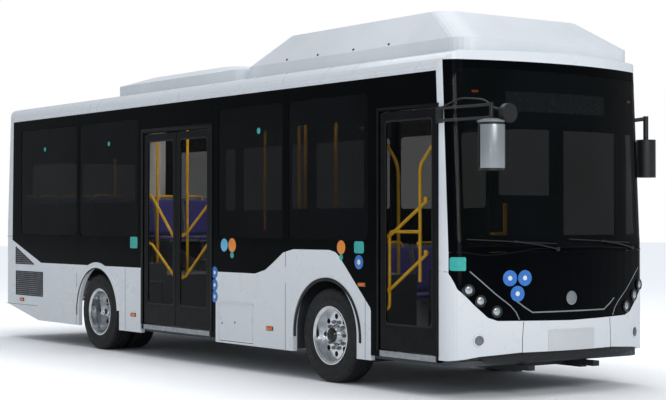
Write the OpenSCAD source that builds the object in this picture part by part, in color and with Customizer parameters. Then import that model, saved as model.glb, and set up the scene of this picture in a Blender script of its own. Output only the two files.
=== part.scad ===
// Single-deck low-floor electric city bus, two doors on the right side.
// Millimetres. +X is forward, +Y is the bus's left, +Z is up.
// The origin is on the ground, half way between the tail and the mirrors' front.
// Each module works in a frame whose X is measured from the front axle, and bus() shifts it.

/* [Body] */
// Width over the side walls
body_w = 2500; // [2080:10:3000]
// Distance between the axles
wheelbase = 5050; // [4200:10:6100]
// Front axle to the middle of the front face
front_overhang = 2210; // [2150:5:2600]
// Rear axle to the tail
rear_overhang = 2810; // [2600:5:3300]
// Ground to the top of the roof skin
roof_z = 3215; // [3150:5:3400]
// Ground to the lower edge of the side panels
skirt_z = 280; // [240:5:340]
// Thickness of walls, roof and panels
wall = 50; // [40:1:60]
// Top edge of the dark window band, down from the top of the roof
band_drop = 195; // [185:5:260]
// How far the front leans back, per unit of height
front_lean = 0.048; // [0:0.005:0.08]
// How far the tail leans forward, per unit of height
rear_lean = 0.06; // [0:0.005:0.08]

/* [Roof pods] */
// Height of the front roof pod above the roof
pod_h = 420; // [340:5:500]
// Height of the rear roof pod above the roof
rear_pod_h = 200; // [165:5:260]

/* [Wheels] */
// Outside radius of every tyre
tyre_r = 476; // [430:1:571]
// Width of one tyre
tyre_w = 275; // [245:5:295]
// Radius of the rim's flange
rim_r = 297; // [290:1:305]
// Side wall's outer face to the tyre's outer face
wheel_inset = 35; // [25:1:60]
// Middle to middle of the twin rear tyres
twin_gap = 318; // [305:1:330]
// Space round a tyre in the arch openings of the side panels
arch_gap = 79; // [60:1:100]
// Front tyre's middle to its kingpin
king_offset = 195; // [180:1:210]

/* [Doors] */
// Clear width of the middle door's opening
mid_door_w = 1560; // [1300:4:1872]
// Clear width of the front door's opening
front_door_w = 870; // [800:5:900]
// Thickness of a door leaf
leaf_t = 36; // [28:1:40]
// Top edge of the door openings
door_top = 2680; // [2600:5:2720]
// Ground to the top of the low floor
floor_z = 350; // [330:1:370]

/* [Hidden] */
half_w = body_w / 2;
inner_y = half_w - wall;
// Mirrors reach this far ahead of the front face and of the side walls
mirror_ahead = 530;
mirror_out = 210;
// Piano hinges of the flap and the rear lid: how far the axis lies out of the skin, and their sizes
hinge_off = 7;
barrel_r = 6;
hinge_pin_r = 2.5;
hinge_leaf = 22;
// X of the front axle in the bus's own frame
axle_x = (wheelbase + rear_overhang + hinge_off + barrel_r - front_overhang - mirror_ahead) / 2;
rear_x = -wheelbase;
tail_x = rear_x - rear_overhang;

// Plan of the shell: a wide front curve between two corner curves, and a flat tail
nose_r = 3360;
corner_r = 220;
tail_r = 100;
corner_y = half_w - corner_r;
corner_x = front_overhang - nose_r + sqrt(pow(nose_r - corner_r, 2) - pow(corner_y, 2));
corner_a = asin(corner_y / (nose_r - corner_r));
tail_corner_x = tail_x + tail_r;
lean_z = 1345;
rear_lean_z = 1600;
lean_below = 30;
front_lean_a = atan(front_lean);
rear_lean_a = atan(rear_lean);
lean_h = roof_z - lean_z + 330;

// Wheels
axle_z = tyre_r;
wheel_y = half_w - wheel_inset - tyre_w / 2;
king_y = wheel_y - king_offset;
spindle_r = 38;
run_gap = 0.3;
arch_r = tyre_r + arch_gap;
arch_z = axle_z + 24;
front_arch_x = -45;
rear_arch_x = rear_x + 55;
// Wheelhouses: half length, top and inner face
house_l = tyre_r + 144;
house_top = 2 * tyre_r + 138;
house_y = wheel_y - twin_gap - tyre_w / 2 - 22;
house_t = 10;

// Heights of the shell's panels
skirt_top = max(1065, arch_z + arch_r + 10);
// The diagonal behind the rear axle where the lower panel rises to the tail
shoulder_z = 1368;
shoulder_x = rear_x - 1640;
kick_x = rear_x - 1720;
band_rear_x = tail_x + 230;
band_rear_lean = 30;
// Front edge of the side panels, and the height above which it follows the leaning nose
strip_w = 46;
front_edge_x = corner_x - strip_w;
front_edge_z = lean_z + strip_w / max(front_lean, 0.01);
band_z = roof_z - band_drop;
mask_top = roof_z - 100;
ceiling_z = roof_z - wall - 25;
tail_low_z = 470;
cowl_z = 1400;
high_floor_z = 950;
floor_t = 50;
under_floor = floor_z - floor_t;
under_high = high_floor_z - floor_t;
step_x = rear_x + 620;
riser_t = 30;

// Doors
front_jamb_x = round(front_edge_x - front_door_w - 28);
mid_jamb_x = rear_x + 1230;
mid_jamb_x1 = mid_jamb_x + mid_door_w;
door_post = 50;
leaf_inset = 3;
leaf_y = half_w - leaf_inset - leaf_t / 2;
mech_y = inner_y - 28;
pillar_r = 20;
pillar_back = 22;
leaf_start = 40;
leaf_gap = 12;
leaf_rim = 60;
leaf_glass_z = 640;
sill_z = floor_z + 42;
kerb_z = sill_z - 62;
leaf_lo = sill_z + 10;
leaf_hi = door_top - 8;
pin_r = 8;
arm_t = 14;
arm_half = 14;
arm_gap = 8;
arm_eye_r = 20;
lug_r = 25;
lug_t = 10;
mid_leaf_w = (mid_door_w - leaf_gap) / 2 + pillar_back;
front_leaf_w = front_door_w - 8 + pillar_back;
front_pillar_x = front_jamb_x - pillar_back;
mid_rear_pillar_x = mid_jamb_x - pillar_back;
mid_front_pillar_x = mid_jamb_x1 + pillar_back;

// Flap and rear lid
flap_w = 695;
flap_x = mid_jamb_x1 + 190;
flap_z = 308;
flap_h = 417;
flap_t = 25;
recess_back = 8;
inlet_r = 55;
tow_r = 20;
inlet_h = 12;
lid_gap = 6;
lid_w = 1640;
lid_z = 520;
lid_h = 900;
lid_t = 40;

// ---- helpers ----
module bus() { translate([axle_x, 0, 0]) children(); }

module left_too() { children(); mirror([0, 1, 0]) children(); }

// A box from one corner to the other
module span(lo, hi) { translate(lo) cube(hi - lo); }

// An outline in X and Z made into a wall of the right side, between two distances from the middle
module right_slab(y_in, y_out) {
    translate([0, -y_in, 0]) rotate([90, 0, 0]) linear_extrude(y_out - y_in) children();
}

module rounded(lo, hi, r) {
    hull() for (x = [lo[0] + r, hi[0] - r], y = [lo[1] + r, hi[1] - r]) translate([x, y]) circle(r, $fn = 24);
}

// Half of the plan outline, in from the outer face by t, from the nose to the tail
function half_plan(t) = concat(
    [for (i = [0:8]) let(a = corner_a * i / 8)
        [front_overhang - nose_r + (nose_r - t) * cos(a), (nose_r - t) * sin(a)]],
    [for (i = [1:8]) let(a = corner_a + (90 - corner_a) * i / 8)
        [corner_x + (corner_r - t) * cos(a), corner_y + (corner_r - t) * sin(a)]],
    [for (i = [0:4]) let(a = 90 + 90 * i / 4)
        [tail_corner_x + (tail_r - t) * cos(a), half_w - tail_r + (tail_r - t) * sin(a)]]);

function plan(t) = let(half = half_plan(t))
    concat(half, [for (i = [len(half) - 1:-1:1]) [half[i][0], -half[i][1]]]);

// The same outline for a shell that leans by angle a about x0: its level cuts then match the upright one
function leaning_plan(t, x0, a) = [for (p = plan(t)) [x0 + (p[0] - x0) * cos(a), p[1]]];

// A band of the plan between two depths in from the outer face
module plan_ring(a, b) {
    difference() {
        polygon(plan(a));
        polygon(plan(b));
    }
}

module leaning_ring(a, b, x0, lean) {
    difference() {
        polygon(leaning_plan(a, x0, lean));
        polygon(leaning_plan(b, x0, lean));
    }
}

// The shell round the nose from x0 to x1: upright below lean_z and leaning back above it
module nose_shell(a = 0, b = wall, x0 = corner_x, x1 = front_overhang + 1) {
    intersection() {
        translate([0, 0, skirt_z]) linear_extrude(lean_z - skirt_z) plan_ring(a, b);
        span([x0, -half_w, 0], [x1, half_w, lean_z]);
    }
    intersection() {
        translate([corner_x, 0, lean_z]) rotate([0, -front_lean_a, 0]) translate([-corner_x, 0, -lean_below])
            intersection() {
                linear_extrude(lean_h) leaning_ring(a, b, corner_x, front_lean_a);
                span([x0, -half_w, 0], [x1, half_w, lean_h]);
            }
        span([0, -half_w - 1, lean_z], [front_overhang + 1, half_w + 1, roof_z + 100]);
    }
}

// The same at the tail, leaning forward above rear_lean_z
module tail_shell(a = 0, b = wall) {
    intersection() {
        translate([0, 0, tail_low_z]) linear_extrude(rear_lean_z - tail_low_z) plan_ring(a, b);
        span([tail_x - 1, -half_w, 0], [tail_corner_x, half_w, rear_lean_z]);
    }
    intersection() {
        translate([tail_corner_x, 0, rear_lean_z]) rotate([0, rear_lean_a, 0])
            translate([-tail_corner_x, 0, -lean_below]) intersection() {
                linear_extrude(lean_h) leaning_ring(a, b, tail_corner_x, rear_lean_a);
                span([tail_x - 1, -half_w, 0], [tail_corner_x, half_w, lean_h]);
            }
        span([tail_x - 1, -half_w - 1, rear_lean_z], [tail_corner_x + 200, half_w + 1, roof_z + 100]);
    }
}

// Where the side wall's flat part ends, front and rear, at height z
function side_front(z) = corner_x - front_lean * max(0, z - lean_z);
function side_rear(z) = tail_corner_x + rear_lean * max(0, z - rear_lean_z);

// Cross-section of the roof, in Y and Z: two rounded edges and a low crown
edge_r = 150;
edge_z = band_z + 35;
edge_steps = 5;
function edge_a(i) = 180 - 75 * i / edge_steps;
function edge_y(i, t) = half_w - edge_r - (edge_r - t) * cos(edge_a(i));
function edge_up(i, t) = edge_z + (edge_r - t) * sin(edge_a(i));
function roof_section(t) = concat(
    [[-half_w + t, band_z]],
    [for (i = [0:edge_steps]) [-edge_y(i, t), edge_up(i, t)]],
    [[0, roof_z - t]],
    [for (i = [edge_steps:-1:0]) [edge_y(i, t), edge_up(i, t)]],
    [[half_w - t, band_z]]);

module along_bus(x0, x1) {
    translate([x0, 0, 0]) rotate([90, 0, 90]) linear_extrude(x1 - x0) children();
}

// Everything under the roof's outer face
module under_roof() {
    along_bus(tail_x - 10, front_overhang + 10)
        polygon(concat([[-half_w, 0]], roof_section(0), [[half_w, 0]]));
}

// ---- roof ----
// The plan's outer outline cut to the roof's own ends
module roof_plan() {
    translate([-front_lean * (mask_top - lean_z), 0]) intersection() {
        polygon(plan(0));
        translate([corner_x - 200, -half_w]) square([600, body_w]);
    }
    translate([rear_lean * (band_z - rear_lean_z), 0]) intersection() {
        polygon(plan(0));
        translate([tail_x, -half_w]) square([corner_x - 200 - tail_x, body_w]);
    }
}

module roof() {
    color("white") bus() difference() {
        intersection() {
            along_bus(tail_x, front_overhang) polygon(roof_section(0));
            translate([0, 0, band_z - 1]) linear_extrude(roof_z - band_z + 2) roof_plan();
        }
        along_bus(side_rear(band_z) - tail_r + wall, side_front(mask_top)) polygon(roof_section(wall));
        translate([side_front(mask_top) - 1, -half_w - 1, band_z - 1])
            cube([600, body_w + 2, mask_top - band_z + 1]);
    }
}

pod_skin = 20;
front_pod_x = [-1800, front_overhang - 250];
front_pod_y = half_w - 140;
front_pod_z = roof_z + pod_h;
rear_pod_x = [rear_x + 170, front_pod_x[0] - 30];
rear_pod_y = half_w - 160;
rear_pod_z = roof_z + rear_pod_h;
pod_wall_z = roof_z + 115;

// Outline of a pod between two heights: its ends, half width and corner radius
module pod_slab(ends, y, z0, z1, r) {
    translate([0, 0, z0]) linear_extrude(z1 - z0) rounded([ends[0], -y], [ends[1], y], r);
}

// A pod's form, smaller by inset all round: upright at its foot, then sloping in to a flat top
module pod_shape(ends, y, top, inset) {
    foot = [ends[0] + inset, ends[1] - inset];
    hull() {
        pod_slab(foot, y - inset, band_z, pod_wall_z, 200 - inset);
        pod_slab([foot[0] + 560, foot[1] - 520], y - 190 - inset, top - 20 - inset, top - inset, 180 - inset);
    }
}

module pod(ends, y, top) {
    difference() {
        pod_shape(ends, y, top, 0);
        pod_shape(ends, y, top, pod_skin);
        under_roof();
    }
}

module roof_pods() {
    color("white") bus() {
        pod(front_pod_x, front_pod_y, front_pod_z);
        pod(rear_pod_x, rear_pod_y, rear_pod_z);
    }
}

pack_y = half_w - 470;

module battery_pack() {
    color("dimgray") bus() difference() {
        span([front_pod_x[0] + 700, -pack_y, band_z], [front_pod_x[1] - 810, pack_y, front_pod_z - 155]);
        under_roof();
    }
}

// ---- side walls ----
module arch(x) {
    translate([x, arch_z]) circle(arch_r, $fn = 64);
    translate([x - arch_r, 0]) square([2 * arch_r, arch_z]);
}

// The panel between the doors, whose upper edge humps over the front wheel
front_panel_x = [mid_jamb_x1 + 116, front_jamb_x - 132];
hump_z = arch_z + arch_r + 285;
hump = [[-1330, skirt_top], [-1130, skirt_top + 45], [-960, hump_z - 140], [-790, hump_z - 40],
    [-600, hump_z - 2], [50, hump_z], [150, hump_z - 20], [front_panel_x[1] - 525, hump_z - 60],
    [front_panel_x[1] - 14, hump_z - 547], [front_panel_x[1], hump_z - 580]];

module right_front_outline() {
    polygon(concat([[front_panel_x[0], skirt_z], [front_panel_x[0], skirt_top]], hump,
        [[front_panel_x[1], skirt_z]]));
}

module flap_hole(gap) {
    translate([flap_x - gap, flap_z - gap]) square([flap_w + 2 * gap, flap_h + 2 * gap]);
}

// The tail end of a lower side panel, and the diagonal that its upper edge follows
kick_edge = [[side_rear(0), tail_low_z], [kick_x, skirt_z]];
shoulder_edge = [[shoulder_x, skirt_top], [band_rear_x, shoulder_z]];

module rear_outline(x1) {
    polygon(concat(kick_edge, [[x1, skirt_z], [x1, skirt_top]], shoulder_edge, [[side_rear(0), shoulder_z]]));
}

// White strip behind the window band, up to the roof
module rear_strip() {
    polygon([[side_rear(0), shoulder_z], [side_rear(0), rear_lean_z], [side_rear(band_z), band_z],
        [band_rear_x + band_rear_lean, band_z], [band_rear_x, shoulder_z]]);
}

module right_skirts() {
    color("white") bus() {
        right_slab(inner_y, half_w) difference() {
            union() {
                rear_outline(mid_jamb_x - door_post);
                rear_strip();
            }
            arch(rear_arch_x);
        }
        right_slab(inner_y + recess_back, half_w) difference() {
            right_front_outline();
            arch(front_arch_x);
            flap_hole(lid_gap);
        }
        right_slab(inner_y, inner_y + recess_back) difference() {
            right_front_outline();
            arch(front_arch_x);
        }
        // Charging inlet in the recess
        right_slab(inner_y + recess_back - 1, inner_y + recess_back + inlet_h)
            translate([flap_x + flap_w / 2, flap_z + flap_h / 2]) circle(r = inlet_r, $fn = 48);
        at_flap_hinge() hinge_fixed(flap_w);
    }
}

left_rise = 75;

module left_outline() {
    polygon(concat(kick_edge, [[front_edge_x, skirt_z], [front_edge_x, skirt_top + left_rise]],
        shoulder_edge, [[side_rear(0), shoulder_z]]));
}

module left_skirts() {
    color("white") bus() mirror([0, 1, 0]) right_slab(inner_y, half_w) difference() {
        union() {
            left_outline();
            rear_strip();
        }
        arch(rear_arch_x);
        arch(front_arch_x);
    }
}

win_r = 60;
win_lo = max(1440, hump_z + 100);
win_hi = band_z - 140;
driver_win_lo = max(1240, skirt_top + left_rise + 100);
win_bar = 40;
rear_bar_x = rear_x - 530;

module pane(x0, x1, lo = win_lo) {
    rounded([x0, lo], [x1, win_hi], win_r);
}

module right_windows() {
    pane(tail_x + 520, rear_bar_x - win_bar);
    pane(rear_bar_x + win_bar, mid_jamb_x - 140);
    pane(mid_jamb_x1 + 170, -790);
    pane(-690, front_jamb_x - 182);
}

left_bars = [rear_bar_x, rear_x + 1230, -2050, -290, front_jamb_x - 142];

module left_windows() {
    pane(tail_x + 520, left_bars[0] - win_bar);
    for (i = [1:4]) pane(left_bars[i - 1] + win_bar, left_bars[i] - win_bar);
    pane(left_bars[4] + win_bar, round(front_edge_x - 130), driver_win_lo);
}

module door_opening(x, w) {
    translate([x, 0]) square([w, door_top]);
}

module right_window_band() {
    color("#15171a") bus() right_slab(inner_y, half_w) difference() {
        polygon([[band_rear_x + band_rear_lean, band_z], [band_rear_x, shoulder_z], [shoulder_x, skirt_top],
            [mid_jamb_x - door_post, skirt_top], [mid_jamb_x - door_post, kerb_z], [front_edge_x, kerb_z],
            [front_edge_x, front_edge_z], [side_front(band_z), band_z]]);
        right_windows();
        door_opening(mid_jamb_x, mid_door_w);
        door_opening(front_jamb_x, front_door_w);
        right_front_outline();
    }
}

module left_window_band() {
    color("#15171a") bus() mirror([0, 1, 0]) right_slab(inner_y, half_w) difference() {
        polygon([[band_rear_x + band_rear_lean, band_z], [band_rear_x, shoulder_z], [shoulder_x, skirt_top],
            [front_edge_x, skirt_top + left_rise], [front_edge_x, front_edge_z],
            [side_front(band_z), band_z]]);
        left_windows();
    }
}

glass_t = 10;
glass_in = 4;

module window_glass() {
    color([0.1, 0.12, 0.14, 0.5]) bus() {
        right_slab(half_w - glass_t - glass_in, half_w - glass_in) right_windows();
        mirror([0, 1, 0]) right_slab(half_w - glass_t - glass_in, half_w - glass_in) left_windows();
        intersection() {
            tail_shell(glass_in, glass_in + glass_t);
            rear_window();
        }
    }
}

rear_win_y = half_w - 250;
rear_win_z = [1640, 2600];

module rear_window() {
    translate([tail_x - 1, 0, 0]) rotate([90, 0, 90]) linear_extrude(400)
        rounded([-rear_win_y, rear_win_z[0]], [rear_win_y, rear_win_z[1]], 80);
}

// ---- tail ----
module rear_wall() {
    color("white") bus() {
        difference() {
            intersection() {
                tail_shell();
                span([tail_x - 1, -half_w, 0], [tail_x + 500, half_w, band_z]);
            }
            rear_window();
            span([tail_x - 1, -lid_w / 2 - lid_gap, lid_z - lid_gap],
                [tail_x + wall + 1, lid_w / 2 + lid_gap, lid_z + lid_h + lid_gap]);
        }
        at_lid_hinge() hinge_fixed(lid_w);
    }
}

module rear_lid() {
    color("white") bus() {
        span([tail_x, -lid_w / 2, lid_z], [tail_x + lid_t, lid_w / 2, lid_z + lid_h]);
        at_lid_hinge() hinge_moving(lid_w);
    }
}

// ---- nose ----
// Outline of the white lower corner and bumper seen from ahead, right half
post_lo = 355;
post_x = corner_x + 77;
cowl_gap = 3;
bumper_half = [[0, 700], [half_w - 421, 716], [half_w - 326, 748], [half_w - 191, 869],
    [half_w - 60, 1007], [half_w + 1, 1200], [half_w + 1, post_lo], [half_w - 250, 395], [half_w - 650, 420]];

module bumper_outline() {
    left_half = [for (i = [len(bumper_half) - 1:-1:1]) [-bumper_half[i][0], bumper_half[i][1]]];
    polygon(concat(bumper_half, left_half));
}

// An outline in Y and Z carried through the whole nose
module from_ahead() {
    rotate([90, 0, 90]) linear_extrude(front_overhang + 20) children();
}

// The flat strip of side wall between the front door and the nose's corner, between two heights
module corner_strip(z0, z1) {
    left_too() right_slab(inner_y, half_w) intersection() {
        polygon([[front_edge_x, post_lo], [corner_x + 1, post_lo], [corner_x + 1, lean_z],
            [front_edge_x + 1, front_edge_z]]);
        translate([0, z0]) square([3000, z1 - z0]);
    }
}

module front_bumper() {
    color("white") bus() {
        intersection() {
            nose_shell(x0 = post_x);
            from_ahead() bumper_outline();
        }
        intersection() {
            nose_shell(x1 = post_x + 1);
            span([0, -half_w, post_lo], [front_overhang, half_w, lean_z]);
        }
        corner_strip(post_lo, lean_z);
    }
}

module corner_posts() {
    color("white") bus() {
        intersection() {
            nose_shell(x1 = post_x);
            span([0, -half_w, lean_z], [front_overhang, half_w, mask_top]);
        }
        corner_strip(lean_z, front_edge_z);
    }
}

screen_r = 90;
screen_t = 12;
screen_y = half_w - 50;
screen_top = mask_top - 85;

module screen_block() {
    from_ahead() rounded([-screen_y, cowl_z], [screen_y, screen_top], screen_r);
}

// Dark lower panel, and above the cowl gap the windscreen's surround
module front_mask() {
    color("#0d0e10") bus() difference() {
        intersection() {
            union() {
                intersection() {
                    nose_shell(x0 = post_x + 1);
                    span([0, -half_w, 600], [front_overhang, half_w, lean_z]);
                }
                intersection() {
                    nose_shell(x0 = post_x);
                    span([0, -half_w, lean_z + cowl_gap], [front_overhang, half_w, mask_top]);
                }
            }
            under_roof();
        }
        from_ahead() bumper_outline();
        screen_block();
    }
}

module windscreen() {
    color([0.1, 0.12, 0.14, 0.5]) bus() intersection() {
        nose_shell(2, 2 + screen_t);
        screen_block();
    }
}

// ---- underframe and floor ----
module house_hole(x) {
    left_too() span([x - house_l, house_y, 0], [x + house_l, inner_y + 1, house_top]);
}

module house(x, z) {
    left_too() span([x - house_l - house_t, house_y - house_t, z],
        [x + house_l + house_t, inner_y, house_top + house_t]);
}

module floor() {
    color("gray") bus() {
        difference() {
            union() {
                span([step_x, -inner_y, under_floor], [front_overhang - 210, inner_y, floor_z]);
                span([step_x - riser_t, -inner_y, under_floor], [step_x, inner_y, high_floor_z]);
                span([side_rear(0), -inner_y, under_high], [step_x, inner_y, high_floor_z]);
                house(0, under_floor);
                house(rear_x, under_high);
            }
            house_hole(0);
            house_hole(rear_x);
            linear_extrude(floor_z + 1) nose_cut();
        }
        // Kerb plates under the two doorways
        span([mid_jamb_x, -half_w, kerb_z], [mid_jamb_x1, -inner_y, sill_z]);
        span([front_jamb_x, -half_w, kerb_z], [front_jamb_x + front_door_w, -inner_y, sill_z]);
    }
}

// What lies outside the inner face of the nose
module nose_cut() {
    difference() {
        translate([1000, -half_w - 1]) square([2000, 2 * half_w + 2]);
        polygon(plan(wall + run_gap));
    }
}

// Two lengthways rails under each floor level, tied by cross bars
rail_y = house_y - 180;
rail_w = 40;
rail_z = under_floor - 80;
high_rail_z = under_high - 100;
low_bars = concat([for (x = [step_x + 530:1300:-1300]) x], [front_overhang - 1310, front_overhang - 510]);
high_bars = [tail_x + 360, rear_x - 850, rear_x + 450];

module rail(x0, x1, z0, z1) {
    span([x0, rail_y - rail_w, z0], [x1, rail_y + rail_w, z1]);
}

module cross_bar(x, z0, z1) {
    span([x, rail_w - rail_y, z0], [x + 60, rail_y - rail_w, z1]);
}

module chassis_frame() {
    color("#222426") bus() {
        left_too() {
            rail(step_x + 10, -130, rail_z, under_floor);
            rail(130, front_overhang - 260, rail_z, under_floor);
            rail(tail_corner_x + 60, step_x - 40, high_rail_z, under_high);
            // Towing eyes: bars with an upright bore
            difference() {
                rail(front_overhang - 260, front_overhang - 90, under_floor - 60, under_floor - 10);
                translate([front_overhang - 140, rail_y, 0]) cylinder(r = tow_r, h = under_floor, $fn = 48);
            }
        }
        for (x = low_bars) cross_bar(x, rail_z + 20, under_floor);
        for (x = high_bars) cross_bar(x, high_rail_z + 20, under_high);
    }
}

motor_h = 380;

module drive_motor() {
    color("dimgray") bus()
        span([rear_x - 1850, 20 - rail_y, high_rail_z - motor_h], [rear_x - 1050, rail_y - 20, high_rail_z]);
}

spring_r = 58;
front_spring_y = king_y - 202.5;
rear_spring_y = house_y - 75;

module air_spring(x, y, z0, z1) {
    translate([x, y, z0]) cylinder(r = spring_r, h = z1 - z0, $fn = 48);
}

module air_springs() {
    color("#1a1a1a") bus() left_too() {
        air_spring(0, front_spring_y, axle_z + 84, house_top);
        air_spring(rear_x, rear_spring_y, axle_z + 100, under_high);
    }
}

// ---- cabin ----
// A seat's pan, its back leaning over the pan's rear edge, and a leg
seat_z = 400;
pan_t = 25;
pan_l = 400;
back_lean = 8;
pad_in = 15;

module seat_shell(x, y, z, w) {
    translate([x, y, z]) {
        span([-30, -w / 2, seat_z], [pan_l, w / 2, seat_z + pan_t]);
        translate([0, 0, seat_z + 2]) rotate([0, -back_lean, 0])
            span([-pan_t, -w / 2, 0], [0, w / 2, 620]);
        span([120, -30, 0], [180, 30, seat_z]);
    }
}

module seat_pad(x, y, z, w) {
    half = w / 2 - pad_in;
    translate([x, y, z]) {
        span([10, -half, seat_z + pan_t + run_gap], [pan_l - 5, half, seat_z + 70]);
        translate([0, 0, seat_z + 2]) rotate([0, -back_lean, 0]) span([run_gap, -half, 85], [40, half, 600]);
    }
}

seat_w = 440;
driver_w = 500;
seat_pitch = 750;
seat_y = [inner_y - 240, inner_y - 700];
seat_front_x = -house_l - 430;
low_left_x = concat([for (x = [step_x + 530:seat_pitch:seat_front_x - 600]) x], [seat_front_x]);
low_right_x = [for (x = [seat_front_x:-700:mid_front_pillar_x + 400]) x];
last_x = tail_x + 240;
high_x = [for (x = [rear_x - 1200:-seat_pitch:last_x + 620]) x];

function seats() = concat(
    [for (x = low_left_x, y = seat_y) [x, y, floor_z]],
    [for (x = low_right_x, y = seat_y) [x, -y, floor_z]],
    [for (x = high_x, y = seat_y, s = [-1, 1]) [x, s * y, high_floor_z]],
    [for (i = [-2:2]) [last_x, i * seat_y[0] / 2, high_floor_z]]);

driver_y = inner_y - 560;
driver_x = front_overhang - 1160;

module seat_shells() {
    color("#3a3f47") bus() {
        for (s = seats()) seat_shell(s[0], s[1], s[2], seat_w);
        seat_shell(driver_x, driver_y, floor_z, driver_w);
    }
}

module seat_pads() {
    color("#2b3f8f") bus() {
        for (s = seats()) seat_pad(s[0], s[1], s[2], seat_w);
        seat_pad(driver_x, driver_y, floor_z, driver_w);
    }
}

// Upright poles beside the aisle, joined by a rail along each side of the ceiling
pole_r = 17;
pole_y = seat_y[1] - 270;
left_pole_x = concat([for (x = [step_x + 1030:seat_pitch:-1800]) x], [-1300, 300]);
right_pole_x = [-1850, -1250];
high_pole_x = [rear_x - 1450, rear_x - 250];
hand_rail_x = [rear_x - 1550, 400];

module pole(x, y, z) {
    translate([x, y, z]) cylinder(r = pole_r, h = ceiling_z + 20 - z, $fn = 24);
}

module handrails() {
    color("gold") bus() {
        for (x = left_pole_x) pole(x, pole_y, floor_z);
        for (x = right_pole_x) pole(x, -pole_y, floor_z);
        left_too() {
            for (x = high_pole_x) pole(x, pole_y, high_floor_z);
            translate([hand_rail_x[0], pole_y, ceiling_z - 180]) rotate([0, 90, 0])
                cylinder(r = pole_r, h = hand_rail_x[1] - hand_rail_x[0], $fn = 24);
        }
    }
}

desk_z = 1120;
desk_x = front_overhang - 610;
desk_y = [driver_y - 490, inner_y - 10];
desk_wall = 100;
screen_x = front_overhang - 1390;
wheel_lean = 35;
column_foot = [desk_x + 40, driver_y, desk_z - 60];
column_l = 280;
column_top = column_foot + column_l * [-sin(wheel_lean), 0, cos(wheel_lean)];

module dashboard() {
    color("#202226") bus() {
        difference() {
            span([desk_x, desk_y[0], floor_z], [desk_x + 500, desk_y[1], desk_z]);
            linear_extrude(desk_z + 1) nose_cut();
            span([desk_x - 100, desk_y[0] + desk_wall, floor_z - 1],
                [desk_x + 300, desk_y[1] - desk_wall, desk_z - 120]);
        }
        // Partition behind the driver
        span([screen_x, desk_y[0] + 30, floor_z], [screen_x + 30, desk_y[1], 1900]);
        translate(column_foot) rotate([0, -wheel_lean, 0]) cylinder(r = 30, h = column_l, $fn = 32);
    }
}

module steering_wheel() {
    color("#141414") bus() translate(column_top) rotate([0, -wheel_lean, 0]) {
        translate([0, 0, 0.3]) cylinder(r = 45, h = 40, $fn = 32);
        translate([0, 0, 30]) rotate_extrude($fn = 64) translate([215, 0]) circle(14, $fn = 24);
        for (a = [0, 120, 240]) rotate([0, 0, a]) span([30, -15, 14], [210, 15, 30]);
    }
}

// ---- axles ----
king_r = 22;
boss_r = 46;
eye_h = 60;
fork_h = 92;
fork_t = 26;
hub_back = 90;
beam_y = king_y - 142.5;
beam_top = under_floor - 15;

// A drop beam: low across the middle, up to the kingpins at its ends
module front_axle() {
    color("#2a2a2a") bus() {
        difference() {
            union() {
                span([-50, 100 - beam_y, beam_top - 100], [50, beam_y - 100, beam_top]);
                left_too() {
                    span([-50, beam_y - 134, beam_top - 100], [50, beam_y, axle_z + 24]);
                    span([-50, beam_y - 1, axle_z - 56], [50, king_y, axle_z + 24]);
                    translate([0, king_y, axle_z - eye_h]) cylinder(r = boss_r, h = 2 * eye_h, $fn = 48);
                    translate([0, front_spring_y, axle_z + 23]) cylinder(r = 60, h = 61, $fn = 48);
                }
            }
            left_too() translate([0, king_y, 0]) cylinder(r = king_r, h = 3 * axle_z, $fn = 48);
        }
    }
}

module knuckle() {
    color("#303030") {
        translate([0, king_y, axle_z - fork_h]) cylinder(r = king_r - run_gap, h = 2 * fork_h, $fn = 48);
        for (z = [axle_z - fork_h, axle_z + fork_h - fork_t]) {
            translate([0, king_y, z]) cylinder(r = boss_r, h = fork_t, $fn = 48);
            span([-40, king_y, z], [40, king_y + hub_back, z + fork_t]);
        }
        span([-60, king_y + hub_back - 30, axle_z - fork_h], [60, king_y + hub_back, axle_z + fork_h]);
        translate([0, king_y + hub_back, axle_z]) rotate([-90, 0, 0]) {
            cylinder(r = 190, h = 40, $fn = 64);
            cylinder(r = spindle_r, h = king_offset + 45, $fn = 48);
        }
    }
}

module left_knuckle() { bus() knuckle(); }
module right_knuckle() { bus() mirror([0, 1, 0]) knuckle(); }

tube_y = house_y - 40;

module rear_axle() {
    color("#2a2a2a") bus() translate([rear_x, 0, axle_z]) rotate([90, 0, 0]) {
        translate([0, 0, -tube_y]) cylinder(r = 90, h = 2 * tube_y, $fn = 64);
        translate([0, 0, -200]) cylinder(r = 170, h = 400, $fn = 64);
        for (s = [-1, 1]) {
            // Seat of an air spring
            span([-60, 60, s * rear_spring_y - spring_r], [60, 100, s * rear_spring_y + spring_r]);
            rotate([90 - 90 * s, 0, 0]) translate([0, 0, tube_y])
                cylinder(r = spindle_r, h = wheel_y - tube_y + 40, $fn = 48);
        }
    }
}

// Wheels are drawn about the origin with their outer side towards +Z
side = tyre_w / 2;
bore_r = spindle_r + run_gap;
hub_r = 110;
well_r = rim_r - 35;
disc_t = 18;
hand_hole_r = 28;

// The rim's barrel in section, from its inner lip to its outer lip; the disc joins it at well_r
barrel = [[well_r, 20 - side], [rim_r - 12, 8 - side], [rim_r, 8 - side], [rim_r, 22 - side],
    [rim_r - 20, 40 - side], [rim_r - 20, side - 40], [rim_r, side - 22], [rim_r, side - 8],
    [rim_r - 12, side - 8], [well_r, side - 20]];

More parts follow.
